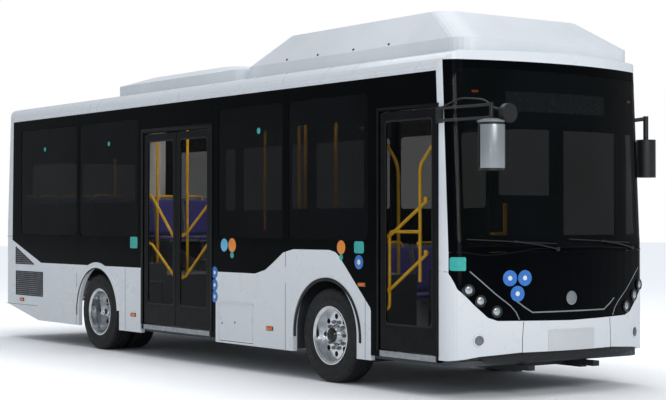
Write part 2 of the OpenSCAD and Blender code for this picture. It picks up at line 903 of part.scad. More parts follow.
module rim(dish) {
    difference() {
        rotate_extrude($fn = 96) polygon(concat(
            [[bore_r, dish - 60], [hub_r, dish - 60], [hub_r, dish - 10], [well_r, dish - 10]],
            barrel,
            [[well_r, dish - 10 + disc_t], [hub_r, dish - 10 + disc_t], [80, dish + 60], [60, dish + 66],
                [bore_r, dish + 66]]));
        for (i = [0:7]) rotate([0, 0, 45 * i]) translate([190, 0, dish - 20])
            cylinder(r = hand_hole_r, h = 60, $fn = 32);
    }
}

bead = 0.3;

module tyre() {
    rotate_extrude($fn = 96) polygon([
        [rim_r - 20 + bead, 40.4 - side], [rim_r + bead, 22.3 - side], [rim_r + 12, 8 - side],
        [rim_r + 80, -side], [tyre_r - 25, 6 - side], [tyre_r, 28 - side],
        [tyre_r, side - 28], [tyre_r - 25, side - 6], [rim_r + 80, side],
        [rim_r + 12, side - 8], [rim_r + bead, side - 22.3], [rim_r - 20 + bead, side - 40.4]]);
}

module wheel_at(x, y) {
    bus() translate([x, y, axle_z]) rotate([-90, 0, 0]) children();
}

module right_wheel_at(x, y) {
    mirror([0, 1, 0]) wheel_at(x, y) children();
}

front_dish = 40;
rear_dish = -60;

module front_left_rim() { color("silver") wheel_at(0, wheel_y) rim(front_dish); }
module front_right_rim() { color("silver") right_wheel_at(0, wheel_y) rim(front_dish); }
module front_left_tyre() { color("#1a1a1a") wheel_at(0, wheel_y) tyre(); }
module front_right_tyre() { color("#1a1a1a") right_wheel_at(0, wheel_y) tyre(); }

// The inner rim of a pair, whose hub reaches out to the outer rim's
module inner_rim() {
    disc_z = side - 41.5;
    hub_z = twin_gap + rear_dish - 60;
    rotate_extrude($fn = 96) polygon(concat(
        [[bore_r, disc_z - 36], [hub_r, disc_z - 36], [hub_r, disc_z], [well_r, disc_z]],
        barrel,
        [[well_r, disc_z + 19], [hub_r, disc_z + 19], [hub_r, hub_z], [bore_r, hub_z]]));
}

module twin_rims() {
    rim(rear_dish);
    translate([0, 0, -twin_gap]) inner_rim();
}

module twin_tyres() {
    tyre();
    translate([0, 0, -twin_gap]) tyre();
}

module rear_left_rims() { color("silver") wheel_at(rear_x, wheel_y) twin_rims(); }
module rear_right_rims() { color("silver") right_wheel_at(rear_x, wheel_y) twin_rims(); }
module rear_left_tyres() { color("#1a1a1a") wheel_at(rear_x, wheel_y) twin_tyres(); }
module rear_right_tyres() { color("#1a1a1a") right_wheel_at(rear_x, wheel_y) twin_tyres(); }

// ---- doors ----
// Each leaf is drawn with its pillar at X = 0 and its leading edge towards +X, on the right side
module leaf_outline(w) {
    translate([leaf_start, leaf_lo]) square([w - leaf_start, leaf_hi - leaf_lo]);
}

module leaf_window(w) {
    rounded([leaf_start + leaf_rim, leaf_glass_z], [w - leaf_rim, leaf_hi - 80], 40);
}

module leaf_frame(w) {
    right_slab(leaf_y - leaf_t / 2, leaf_y + leaf_t / 2) difference() {
        leaf_outline(w);
        leaf_window(w);
    }
    // Lugs at the middle of the leaf's ends, with the pins that the arms turn on
    for (z = [leaf_lo, leaf_hi - lug_t]) {
        span([w / 2 - lug_r, -leaf_y, z], [w / 2 + lug_r, -mech_y, z + lug_t]);
        translate([w / 2, -mech_y, z]) cylinder(r = lug_r, h = lug_t, $fn = 32);
    }
    for (z = [leaf_hi, leaf_lo - arm_gap - arm_t])
        translate([w / 2, -mech_y, z]) cylinder(r = pin_r, h = arm_gap + arm_t, $fn = 32);
}

module leaf_glass(w) {
    right_slab(leaf_y - glass_t / 2, leaf_y + glass_t / 2) leaf_window(w);
}

module arm(w, z) {
    difference() {
        union() {
            span([0, -mech_y - arm_half, z], [w / 2, arm_half - mech_y, z + arm_t]);
            translate([w / 2, -mech_y, z]) cylinder(r = arm_eye_r, h = arm_t, $fn = 32);
        }
        translate([w / 2, -mech_y, z - 1]) cylinder(r = pin_r + run_gap, h = arm_t + 2, $fn = 32);
    }
}

module pillar(w) {
    translate([0, -mech_y, floor_z + run_gap])
        cylinder(r = pillar_r, h = leaf_hi + arm_gap + arm_t - floor_z, $fn = 48);
    arm(w, leaf_hi + arm_gap);
    arm(w, leaf_lo - arm_gap - arm_t);
}

module at_front_door() { bus() translate([front_pillar_x, 0, 0]) children(); }
module at_mid_rear_leaf() { bus() translate([mid_rear_pillar_x, 0, 0]) children(); }
module at_mid_front_leaf() { bus() translate([mid_front_pillar_x, 0, 0]) mirror([1, 0, 0]) children(); }

module front_door() { color("#101214") at_front_door() leaf_frame(front_leaf_w); }
module front_door_glass() { color([0.1, 0.12, 0.14, 0.5]) at_front_door() leaf_glass(front_leaf_w); }
module front_door_pillar() { color("#55585c") at_front_door() pillar(front_leaf_w); }
module mid_door_front() { color("#101214") at_mid_front_leaf() leaf_frame(mid_leaf_w); }
module mid_door_front_glass() { color([0.1, 0.12, 0.14, 0.5]) at_mid_front_leaf() leaf_glass(mid_leaf_w); }
module mid_door_front_pillar() { color("#55585c") at_mid_front_leaf() pillar(mid_leaf_w); }
module mid_door_rear() { color("#101214") at_mid_rear_leaf() leaf_frame(mid_leaf_w); }
module mid_door_rear_glass() { color([0.1, 0.12, 0.14, 0.5]) at_mid_rear_leaf() leaf_glass(mid_leaf_w); }
module mid_door_rear_pillar() { color("#55585c") at_mid_rear_leaf() pillar(mid_leaf_w); }

// A piano hinge along +X, its axis hinge_off out of the skin that lies in Y = 0, drawn on the -Y side.
// The moving half hangs below, the fixed half and its pin stand above.

module hinge_part(x0, x1, dir) {
    difference() {
        union() {
            translate([x0, -hinge_off, 0]) rotate([0, 90, 0]) cylinder(r = barrel_r, h = x1 - x0, $fn = 32);
            span([x0, -4, min(0, dir * hinge_leaf)], [x1, 0, max(0, dir * hinge_leaf)]);
            span([x0, -hinge_off, min(0, dir * 5)], [x1, -1, max(0, dir * 5)]);
        }
        translate([x0 - 1, -hinge_off, 0]) rotate([0, 90, 0])
            cylinder(r = hinge_pin_r + run_gap, h = x1 - x0 + 2, $fn = 32);
    }
}

module hinge_moving(w) {
    hinge_part(0.2 * w, 0.4 * w, -1);
    hinge_part(0.6 * w, 0.8 * w, -1);
}

module hinge_fixed(w) {
    for (k = [0, 0.4, 0.8]) hinge_part(k * w + run_gap, (k + 0.2) * w - run_gap, 1);
    translate([0, -hinge_off, 0]) rotate([0, 90, 0]) cylinder(r = hinge_pin_r, h = w, $fn = 32);
    for (x = [run_gap, w - run_gap - 2]) translate([x, -hinge_off, 0]) rotate([0, 90, 0])
        cylinder(r = barrel_r, h = 2, $fn = 32);
}

module at_flap_hinge() { translate([flap_x, -half_w, flap_z + flap_h + lid_gap / 2]) children(); }
module at_lid_hinge() {
    translate([tail_x, lid_w / 2, lid_z + lid_h + lid_gap / 2]) rotate([0, 0, -90]) children();
}

module charge_flap() {
    color("white") bus() {
        right_slab(half_w - flap_t, half_w) translate([flap_x, flap_z]) square([flap_w, flap_h]);
        at_flap_hinge() hinge_moving(flap_w);
    }
}

// ---- lamps and mirrors ----
lamp_places = [[half_w - 141, 1003], [half_w - 251, 903], [half_w - 407, 803]];
lamp_r = 48;
lens_t = 8;
lens_gap = 0.3;

module lamps() {
    color("whitesmoke") bus() intersection() {
        translate([lens_gap, 0, 0]) nose_lens();
        from_ahead() for (p = lamp_places, s = [-1, 1]) translate([s * p[0], p[1]]) circle(lamp_r, $fn = 32);
    }
}

module nose_lens() {
    intersection() {
        linear_extrude(lean_z) difference() {
            translate([lens_t, 0]) polygon(plan(0));
            polygon(plan(0));
        }
        span([corner_x, -half_w, 0], [front_overhang + 20, half_w, lean_z]);
    }
}

mirror_r = 112;
mirror_y = half_w + mirror_out - mirror_r;
mirror_lo = 2070;
arm_x = round(corner_x - 32);
arm_z = 2605;
head_x = front_overhang + 400;
head_h = 420;
round_t = 50;
round_r = 85;
round_x = front_overhang + mirror_ahead - round_t;
left_mirror_r = 98;
left_mirror_y = half_w + mirror_out - left_mirror_r;
left_head_x = arm_x + 106;
left_head_h = 380;
bar_r = 14;
bar_apart = 56;

// The solid inside the leaning nose's outer face, which the mirrors' mounting plates fit against
module nose_body() {
    translate([corner_x, 0, lean_z]) rotate([0, -front_lean_a, 0]) translate([-corner_x, 0, -15])
        linear_extrude(lean_h) polygon(plan(0));
}

// A bar of radius r between two points
module bar(p, q, r) {
    v = q - p;
    translate(p) rotate([0, acos(v[2] / norm(v)), atan2(v[1], v[0])]) cylinder(r = r, h = norm(v), $fn = 24);
}

// A pair of bars carried forward from a plate on the corner, with a long mirror hanging from them
// and a small round one at their tip
module right_mirrors() {
    span([arm_x - 35, -half_w - 16, arm_z - 75], [arm_x + 45, -inner_y, arm_z + 75]);
    for (z = [arm_z - bar_apart, arm_z + bar_apart]) {
        bar([arm_x, -half_w - 8, z], [arm_x + 70, -half_w - 45, z], bar_r);
        bar([arm_x + 65, -half_w - 43, z], [head_x, -mirror_y, z - 15], bar_r);
    }
    translate([head_x, -mirror_y, mirror_lo + head_h - 20])
        cylinder(r = 18, h = arm_z + 80 - mirror_lo - head_h, $fn = 24);
    translate([head_x, -mirror_y, mirror_lo]) cylinder(r = mirror_r, h = head_h, $fn = 48);
    bar([head_x, -mirror_y, arm_z + 20], [round_x + 10, -half_w, arm_z - 20], 12);
    translate([round_x, 5 - half_w, arm_z - 35]) rotate([0, 90, 0])
        cylinder(r = round_r, h = round_t, $fn = 48);
}

// A short arm out from the corner with one mirror hanging from it
module left_mirror() {
    span([arm_x - 40, inner_y, arm_z], [arm_x + 40, half_w + 12, arm_z + 80]);
    bar([arm_x, half_w + 8, arm_z + 40], [left_head_x, left_mirror_y, arm_z + 60], 20);
    translate([left_head_x, left_mirror_y, mirror_lo + left_head_h - 20])
        cylinder(r = 26, h = arm_z + 104 - mirror_lo - left_head_h, $fn = 24);
    translate([left_head_x, left_mirror_y, mirror_lo]) cylinder(r = left_mirror_r, h = left_head_h, $fn = 48);
}

module mirrors() {
    color("#1b1d20") bus() difference() {
        union() {
            right_mirrors();
            left_mirror();
        }
        nose_body();
    }
}

roof();
roof_pods();
battery_pack();
right_skirts();
right_window_band();
left_skirts();
left_window_band();
window_glass();
rear_wall();
rear_lid();
front_mask();
windscreen();
front_bumper();
corner_posts();
floor();
chassis_frame();
air_springs();
drive_motor();
seat_shells();
seat_pads();
handrails();
dashboard();
steering_wheel();
front_axle();
right_knuckle();
left_knuckle();
rear_axle();
front_right_rim();
front_right_tyre();
front_left_rim();
front_left_tyre();
rear_right_rims();
rear_right_tyres();
rear_left_rims();
rear_left_tyres();
front_door();
front_door_glass();
front_door_pillar();
mid_door_front();
mid_door_front_glass();
mid_door_front_pillar();
mid_door_rear();
mid_door_rear_glass();
mid_door_rear_pillar();
charge_flap();
lamps();
mirrors();
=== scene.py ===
# %% [markdown]
# # A low-floor city bus
# This lesson dresses a finished frame of a two-door electric bus. The frame holds every hard part at its
# true size, so the work here is the finish of each part and the small pieces that are screwed, glued or
# clipped to it: tyres with tread, wheel nuts, door rails, seat cushions, lamps, rubber edges and vents.
# All lengths are metres, +X is the way the bus drives, +Y is its left and +Z is up.

# %% Load the frame
import bpy
import math
from mathutils import Matrix, Vector


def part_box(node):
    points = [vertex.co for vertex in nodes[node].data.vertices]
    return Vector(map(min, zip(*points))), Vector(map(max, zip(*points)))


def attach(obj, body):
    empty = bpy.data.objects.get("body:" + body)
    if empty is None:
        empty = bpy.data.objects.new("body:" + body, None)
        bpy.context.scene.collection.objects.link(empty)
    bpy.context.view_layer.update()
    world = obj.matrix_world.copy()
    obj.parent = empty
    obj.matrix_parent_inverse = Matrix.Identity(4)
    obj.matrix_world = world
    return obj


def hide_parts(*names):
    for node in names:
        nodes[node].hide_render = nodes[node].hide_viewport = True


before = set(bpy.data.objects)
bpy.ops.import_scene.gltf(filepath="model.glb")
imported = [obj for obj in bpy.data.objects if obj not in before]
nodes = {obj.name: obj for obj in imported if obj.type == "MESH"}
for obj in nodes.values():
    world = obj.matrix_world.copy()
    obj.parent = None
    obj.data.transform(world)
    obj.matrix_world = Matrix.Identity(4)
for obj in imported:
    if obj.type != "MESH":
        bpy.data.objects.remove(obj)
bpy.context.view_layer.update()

# %% [markdown]
# ## Places on the bus
# Every new piece hangs on something that is already there, so its place is measured from the frame and
# never typed twice. The front axle is the middle of a front tyre, and most lengthways places on a bus are
# given from it, because that is how the body drawings of a bus are dimensioned.

# %% Measure the frame
def middle(node):
    low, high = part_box(node)
    return (low + high) / 2

front_x = middle("front_right_tyre").x
rear_x = middle("rear_right_tyres").x
wheel_z = middle("front_right_tyre").z
tyre_r = (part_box("front_right_tyre")[1].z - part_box("front_right_tyre")[0].z) / 2
side_y = -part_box("right_window_band")[0].y
tail_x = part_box("rear_wall")[0].x

def at(x, y, z):
    return Vector((front_x + x, y, z))

print("front axle", round(front_x, 4), "rear axle", round(rear_x, 4), "side", side_y)

# %% [markdown]
# ## Camera
# The camera goes in first, because some checks need to know what it sees. It stands at a person's eye
# height off the right front corner and looks along the side through an 84 mm lens. A long lens
# keeps the far end of a ten metre bus from shrinking, which is why vehicle brochures use one.

# %% Set the camera
camera_data = bpy.data.cameras.new("Brochure camera")
camera_data.lens = 83.88
camera_data.sensor_width = 36.0
camera_data.clip_end = 200.0
camera = bpy.data.objects.new("Brochure camera", camera_data)
bpy.context.scene.collection.objects.link(camera)
yaw, pitch = math.radians(35.686), math.radians(0.79)
look = Vector((-math.cos(yaw) * math.cos(pitch), math.sin(yaw) * math.cos(pitch), math.sin(pitch)))
camera.location = (front_x + 12.768, -10.34, 1.628)
camera.rotation_euler = look.to_track_quat("-Z", "Y").to_euler()
bpy.context.scene.camera = camera
print("camera at", [round(v, 2) for v in camera.location])

# %% [markdown]
# ## Helpers for working by hand
# The pieces below are made as one would at the screen: add a primitive at its size and place, go into
# edit mode, pick faces or edges by where they are, then extrude, inset or bevel them. Operators act on
# whatever is selected, so each step starts by letting go of everything.

# %% Selection helpers
def let_go():
    if bpy.context.object and bpy.context.object.mode != "OBJECT":
        bpy.ops.object.mode_set(mode="OBJECT")
    bpy.ops.object.select_all(action="DESELECT")

def take(piece):
    let_go()
    piece.select_set(True)
    bpy.context.view_layer.objects.active = piece

def edit(piece, kind, wanted=None):
    """Go into edit mode with the faces, edges or points that wanted() accepts."""
    take(piece)
    bpy.ops.object.mode_set(mode="EDIT")
    bpy.ops.mesh.select_mode(type=kind)
    bpy.ops.mesh.select_all(action="SELECT" if wanted is None else "DESELECT")
    if wanted is None:
        return
    bpy.ops.object.mode_set(mode="OBJECT")
    mesh = piece.data
    if kind == "FACE":
        for face in mesh.polygons:
            face.select = wanted(face.center, face.normal)
    elif kind == "EDGE":
        for line in mesh.edges:
            line.select = wanted(mesh.vertices[line.vertices[0]].co, mesh.vertices[line.vertices[1]].co)
    else:
        for point in mesh.vertices:
            point.select = wanted(point.co)
    bpy.ops.object.mode_set(mode="EDIT")

def leave():
    bpy.ops.object.mode_set(mode="OBJECT")

def slide(by):
    bpy.ops.mesh.extrude_region_move(TRANSFORM_OT_translate={"value": by})

print("selection helpers ready")

# %% [markdown]
# A finished piece keeps its place in its mesh and its object at the origin, because patterns are tied to the
# object. What repeats on the bus is modelled once and copied, and small parts that belong together are joined
# into one piece, the way a parts list counts them.

# %% Settle, join, copy and smooth
def settle(piece):
    """Place, turn and size go into the mesh, and all faces are made to look outwards."""
    take(piece)
    bpy.ops.object.transform_apply(location=True, rotation=True, scale=True)
    edit(piece, "FACE")
    bpy.ops.mesh.normals_make_consistent(inside=False)
    leave()
    return piece

def joined(name, pieces):
    take(pieces[0])
    for piece in pieces:
        piece.select_set(True)
    if len(pieces) > 1:
        bpy.ops.object.join()
    whole = bpy.context.view_layer.objects.active
    whole.name = name
    whole.data.name = name
    return whole

def copy_to(piece, change):
    """A copy with its own mesh, moved by a matrix and settled."""
    take(piece)
    bpy.ops.object.duplicate()
    twin = bpy.context.view_layer.objects.active
    twin.matrix_world = change @ twin.matrix_world
    bpy.ops.object.transform_apply(location=True, rotation=True, scale=True)
    return twin

def soften(piece, angle=35):
    take(piece)
    bpy.ops.object.shade_smooth_by_angle(angle=math.radians(angle))
    return piece

print("settle, joined, copy_to and soften are ready")

# %% [markdown]
# ## Shapes that are used again and again
# A bus body is full of thin plates with eased edges, round bars and flat cut-outs. Each is a short recipe.
# A plate is a cube whose edges are bevelled, because no pressed or moulded part has a knife edge.

# %% Plate
def plate(name, low, high, ease=0.003, steps=2):
    low, high = Vector(low), Vector(high)
    let_go()
    bpy.ops.mesh.primitive_cube_add(size=1, location=(low + high) / 2, scale=[abs(v) for v in high - low])
    piece = bpy.context.object
    piece.name = name
    bpy.ops.object.transform_apply(location=True, rotation=True, scale=True)
    edit(piece, "EDGE")
    bpy.ops.mesh.bevel(offset=ease, segments=steps, profile=0.6)
    leave()
    return settle(piece)

print("plate ready")

# %% [markdown]
# Rails, seals and wiper arms are bars bent to shape. A curve with a round section bends more evenly than a
# stretched cylinder would, and it is turned into a mesh once its route is right.

# %% Bent bar
def rod(name, points, radius, bend=0.0, sides=4):
    """A round bar through the points, its corners rounded by an inserted arc of points."""
    route = [Vector(p) for p in points]
    if bend:
        eased = [route[0]]
        for before, corner, after in zip(route, route[1:], route[2:]):
            a = corner + (before - corner).normalized() * min(bend, (before - corner).length * 0.45)
            b = corner + (after - corner).normalized() * min(bend, (after - corner).length * 0.45)
            eased += [a.lerp(corner, t).lerp(corner.lerp(b, t), t) for t in (0, 0.25, 0.5, 0.75, 1)]
        route = eased + [route[-1]]
    let_go()
    bpy.ops.curve.primitive_bezier_curve_add()
    line = bpy.context.object
    line.data.splines.clear()
    spline = line.data.splines.new("POLY")
    spline.points.add(len(route) - 1)
    for point, place in zip(spline.points, route):
        point.co = (*place, 1)
    line.data.dimensions = "3D"
    line.data.bevel_depth = radius
    line.data.bevel_resolution = sides
    line.data.use_fill_caps = True
    bpy.ops.object.convert(target="MESH")
    piece = bpy.context.object
    piece.name = name
    return soften(settle(piece))

print("rod ready")

# %% [markdown]
# Panels, films and frames start as an outline on paper. The outline is filled and pushed out to a thickness,
# or a second outline inside it leaves a ring. Arcs and rounded rectangles give the corner points.

# %% Cut-outs and rings
def outline(name, corners, push=None):
    """A flat face with these corners, pushed out along a vector if one is given."""
    let_go()
    bpy.ops.mesh.primitive_circle_add(vertices=len(corners), radius=1, fill_type="NGON")
    piece = bpy.context.object
    piece.name = name
    for point, place in zip(piece.data.vertices, corners):
        point.co = place
    if push is not None:
        edit(piece, "FACE")
        slide(push)
        leave()
    return settle(piece)

def arc(centre, radius, start, end, steps):
    """Points round a centre, as (across, up) pairs, with angles in degrees."""
    turns = [math.radians(start + (end - start) * i / steps) for i in range(steps + 1)]
    return [(centre[0] + radius * math.cos(a), centre[1] + radius * math.sin(a)) for a in turns]

def rounded(low, high, r, steps=5):
    """The corners of a rounded rectangle, as (across, up) pairs."""
    (x0, z0), (x1, z1) = low, high
    return (arc((x1 - r, z1 - r), r, 0, 90, steps) + arc((x0 + r, z1 - r), r, 90, 180, steps)
            + arc((x0 + r, z0 + r), r, 180, 270, steps) + arc((x1 - r, z0 + r), r, 270, 360, steps))

def ring(name, outer, inner, place, push):
    """A flat ring between two outlines of as many corners, each pair turned to a point by place()."""
    let_go()
    count = len(outer)
    bpy.ops.mesh.primitive_circle_add(vertices=count, radius=1, fill_type="NOTHING")
    piece = bpy.context.object
    piece.name = name
    for point, pair in zip(piece.data.vertices, outer):
        point.co = place(*pair)
    edit(piece, "EDGE")
    bpy.ops.mesh.extrude_edges_move()
    leave()
    for point, pair in zip(piece.data.vertices[count:], inner):
        point.co = place(*pair)
    edit(piece, "FACE")
    slide(push)
    leave()
    return settle(piece)

print("outline, arc, rounded and ring are ready")

# %% [markdown]
# Lenses, locks and caps are round and low. Only the two rims of a cylinder are bevelled, and its sides are
# left straight, as if it had been turned on a lathe.

# %% Turned disc
def disc(name, centre, radius, depth, axis="Y", ease=0.002, sides=32):
    turns = {"Y": (math.radians(90), 0, 0), "X": (0, math.radians(90), 0), "Z": (0, 0, 0)}
    let_go()
    bpy.ops.mesh.primitive_cylinder_add(vertices=sides, radius=radius, depth=depth, location=centre,
                                        rotation=turns[axis])
    piece = bpy.context.object
    piece.name = name
    bpy.ops.object.transform_apply(location=True, rotation=True, scale=True)
    edit(piece, "EDGE", lambda a, b: (a - b).length < 2.2 * radius * math.sin(math.pi / sides) + 1e-6
         and abs((a - b)["XYZ".index(axis)]) < 1e-6)
    bpy.ops.mesh.bevel(offset=min(ease, radius * 0.4, depth * 0.4), segments=2)
    leave()
    return soften(settle(piece))

print("disc ready")

# %% [markdown]
# ## Colours and a way to wire shaders
# Colours are written as the sRGB hex values one would read off a paint chart, and one function turns them
# to the linear numbers that the renderer works in. One more small function adds a node, sets it and wires
# it, so that each material below reads as a list of what its surface does.

# %% Material helpers
def linear(code):
    parts = [int(code[i:i + 2], 16) / 255 for i in (1, 3, 5)]
    return tuple(c / 12.92 if c <= 0.04045 else ((c + 0.055) / 1.055) ** 2.4 for c in parts) + (1.0,)

def node(tree, kind, inputs=None, **settings):
    made = tree.nodes.new(kind)
    for key, value in settings.items():
        setattr(made, key, value)
    for key, value in (inputs or {}).items():
        if isinstance(value, bpy.types.NodeSocket):
            tree.links.new(value, made.inputs[key])
        else:
            made.inputs[key].default_value = value
    return made

def surface(name, **values):
    """A new material with one Principled shader, and the Object coordinates that its patterns use."""
    material = bpy.data.materials.new(name)
    material.use_nodes = True
    tree = material.node_tree
    tree.nodes.clear()
    shader = node(tree, "ShaderNodeBsdfPrincipled", {k.replace("_", " "): v for k, v in values.items()})
    node(tree, "ShaderNodeOutputMaterial", {"Surface": shader.outputs[0]})
    place = node(tree, "ShaderNodeTexCoord").outputs["Object"]
    return material, tree, shader, place

def grain(tree, place, size, detail=2.0, rough=0.5):
    """Noise whose blobs are about size metres across."""
    return node(tree, "ShaderNodeTexNoise", {"Vector": place, "Scale": 0.5 / size, "Detail": detail,
                                             "Roughness": rough}).outputs["Fac"]

def spread(tree, fac, low, high):
    """Stretch a pattern's 0.35 to 0.65, where noise mostly lies, to low and high."""
    return node(tree, "ShaderNodeMapRange", {"Value": fac, "From Min": 0.35, "From Max": 0.65,
                                             "To Min": low, "To Max": high}).outputs["Result"]

def two_tone(tree, fac, dark, light):
    mix = node(tree, "ShaderNodeMix", data_type="RGBA")
    tree.links.new(fac, mix.inputs[0])
    mix.inputs[6].default_value = linear(dark)
    mix.inputs[7].default_value = linear(light)
    return mix.outputs[2]

def bump(tree, height, strength, depth):
    return node(tree, "ShaderNodeBump", {"Height": height, "Strength": strength, "Distance": depth}).outputs[0]

print("material helpers ready")

# %% [markdown]
# ## Paint, rubber, glass and metal
# Coach paint is a smooth enamel over sheet aluminium and fibreglass. It is white with a breath of grey,
# a little uneven in gloss, and it greys towards the skirt where road film settles. The film is a slow
# gradient up the body mixed with coarse noise, so that no two panels match exactly.

# %% Body paint
# Two-pack enamel, sprayed and baked: smooth under a thin clear coat, so the sky slides over it softly.
white, tree, shader, place = surface("White coach enamel", Roughness=0.3, IOR=1.5, Coat_Weight=0.35,
                                     Coat_Roughness=0.06)
# Road film lies thickest below the waist, in blots some 350 mm wide.
up = node(tree, "ShaderNodeSeparateXYZ", {"Vector": place}).outputs["Z"]
low_down = node(tree, "ShaderNodeMapRange", {"Value": up, "From Min": 0.3, "From Max": 1.3,
                                             "To Min": 0.5, "To Max": 0.0}).outputs["Result"]
blotches = spread(tree, grain(tree, place, 0.35, 4), 0.75, 1.0)
film = node(tree, "ShaderNodeMath", {0: low_down, 1: blotches}, operation="MULTIPLY").outputs[0]
tree.links.new(two_tone(tree, film, "#E6EAEE", "#CDD1D5"), shader.inputs["Base Color"])
tree.links.new(spread(tree, grain(tree, place, 0.12), 0.26, 0.36), shader.inputs["Roughness"])
# The orange peel of sprayed paint is 2 mm wide. It is drawn 50 mm wide, because finer would not show.
tree.links.new(bump(tree, grain(tree, place, 0.05, 1), 0.02, 0.0005), shader.inputs["Normal"])

# Gelcoat comes out of an open mould: duller than paint, chalky in wide patches, a little wavy.
pod_paint, tree, shader, place = surface("White gelcoat on the roof covers", Roughness=0.42, IOR=1.5)
tree.links.new(two_tone(tree, spread(tree, grain(tree, place, 0.5, 4), 0, 1), "#DADEE2", "#E6EAEE"),
               shader.inputs["Base Color"])
tree.links.new(bump(tree, grain(tree, place, 0.06, 2), 0.03, 0.001), shader.inputs["Normal"])

# Powder coat melts into a thick even skin with a fine orange peel, which breaks up the highlights.
yellow, tree, shader, place = surface("Yellow powder coat on grab rails", Roughness=0.38, IOR=1.5)
tree.links.new(two_tone(tree, spread(tree, grain(tree, place, 0.05, 3), 0, 1), "#F0B400", "#FFC812"),
               shader.inputs["Base Color"])
tree.links.new(bump(tree, grain(tree, place, 0.0012, 1), 0.15, 0.0003), shader.inputs["Normal"])
print("paints:", white.name, pod_paint.name, yellow.name)

# %% [markdown]
# The window band is glossy black, and the panes are privacy glass in which the seats can just be made
# out. Bus glass is bonded on from outside, and a black ceramic print baked onto the inner face of each
# pane hides the glue and the framing behind it, which is why the clear part looks smaller than the pane.

# %% Black band and ceramic print
# The low specular level stands for the dark street that such a band mirrors most of the time.
def glossy_black(name, colour, low, high, blob, light="#05070A"):
    material, tree, shader, place = surface(name, IOR=1.45, Specular_IOR_Level=0.04)
    tree.links.new(two_tone(tree, spread(tree, grain(tree, place, blob, 3), 0, 1), colour, light),
                   shader.inputs["Base Color"])
    tree.links.new(spread(tree, grain(tree, place, blob / 2), low, high), shader.inputs["Roughness"])
    return material

# Polished paint is nearly a mirror, fired print is satin, and tooled sealant is dull.
band_black = glossy_black("Black gloss paint on the band", "#030406", 0.07, 0.13, 0.3)
ceramic = glossy_black("Black ceramic print on glass", "#060708", 0.25, 0.35, 0.1)
sealant = glossy_black("Black polyurethane glazing sealant", "#08090A", 0.5, 0.65, 0.02)
print("blacks:", band_black.name, ceramic.name, sealant.name)

# %% [markdown]
# Tinted glass holds back part of the view, and that part is the same from every side. A constant opacity
# says this simply, and it survives in other programs, where a true refracting pane often turns black.

# %% Three kinds of glass
def tinted(name, colour, alpha):
    material, tree, shader, place = surface(name, Alpha=alpha, IOR=1.5, Specular_IOR_Level=0.08)
    tree.links.new(two_tone(tree, spread(tree, grain(tree, place, 0.4, 2), 0, 1), colour, "#0D1114"),
                   shader.inputs["Base Color"])
    tree.links.new(spread(tree, grain(tree, place, 0.2), 0.015, 0.04), shader.inputs["Roughness"])
    return material

# Float glass is coloured in the melt. Privacy glass is the darkest, and door glass must show who stands there.
glass = tinted("Grey privacy glass", "#04070B", 0.72)
screen_glass = tinted("Green laminated windscreen glass", "#060A09", 0.60)
door_glass = tinted("Grey toughened door glass", "#05080B", 0.18)
print("glass:", glass.name, screen_glass.name, door_glass.name)

# %% [markdown]
# Under the skin everything is either rubber, coated steel or moulded plastic. Each is dull, but not in the
# same way: rubber has a fine even grain, underbody wax is streaky, and moulded plastic has a leather-like
# grain that was etched into its mould.

# %% Rubber, wax and plastics
def dull(name, dark, light, blob, rough, deep, detail=3.0, **values):
    material, tree, shader, place = surface(name, Roughness=rough, **values)
    tree.links.new(two_tone(tree, spread(tree, grain(tree, place, blob, detail), 0, 1), dark, light),
                   shader.inputs["Base Color"])
    tree.links.new(spread(tree, grain(tree, place, blob * 0.6), rough - 0.06, rough + 0.06),
                   shader.inputs["Roughness"])
    tree.links.new(bump(tree, grain(tree, place, max(blob * 0.05, 0.0008), 2), 0.25, deep),
                   shader.inputs["Normal"])
    return material

# Vulcanised rubber is matt with a grey bloom. Its grain is 1.5 mm.
tyre_rubber = dull("Tyre rubber", "#0D0D0E", "#1A1A1B", 0.03, 0.72, 0.0006, IOR=1.52)
# Extruded rubber comes out of a die, smoother than a tyre.
seal_rubber = dull("Black door seal rubber", "#0A0A0B", "#151516", 0.02, 0.6, 0.0004, IOR=1.52)
# An air spring is rubber over cord, moulded in one piece.
bellows = dull("Air spring rubber", "#101011", "#1C1C1D", 0.02, 0.65, 0.0005, IOR=1.52)
# Wax is sprayed on hot and runs in satin streaks 120 mm long.
wax = dull("Black underbody wax on steel", "#0E0F10", "#1C1E20", 0.12, 0.55, 0.001, 5.0)
# Paint on a casting lets the 2 mm grain of the moulding sand show.
iron = dull("Black painted cast iron", "#111214", "#202326", 0.04, 0.5, 0.0012)
# Seat shells are injection moulded, with a grain etched into the mould.
seat_shell = dull("Grey moulded seat plastic", "#5C646C", "#6B737B", 0.05, 0.48, 0.0004)
# A soft skin over foam, dull so that it does not shine in the windscreen.
dash = dull("Dark grey dashboard skin", "#17191C", "#232629", 0.03, 0.58, 0.0006)
# Mirror housings are moulded like the seats, in black with a little more gloss.
mirror_shell = dull("Black mirror housing plastic", "#101113", "#1A1B1E", 0.03, 0.42, 0.0003)
# Door frames are extruded aluminium with a dark satin coat.
trim_grey = dull("Dark grey door frame coat", "#07090B", "#0D1014", 0.06, 0.34, 0.0002,
                 Specular_IOR_Level=0.1)
print("rubber, wax and plastics ready")

# %% [markdown]
# Two finishes inside have a pattern of their own. The floor is vinyl with hard flecks pressed into it for
# grip, and the seats are covered with a hard-wearing woven plush whose colours hide stains.

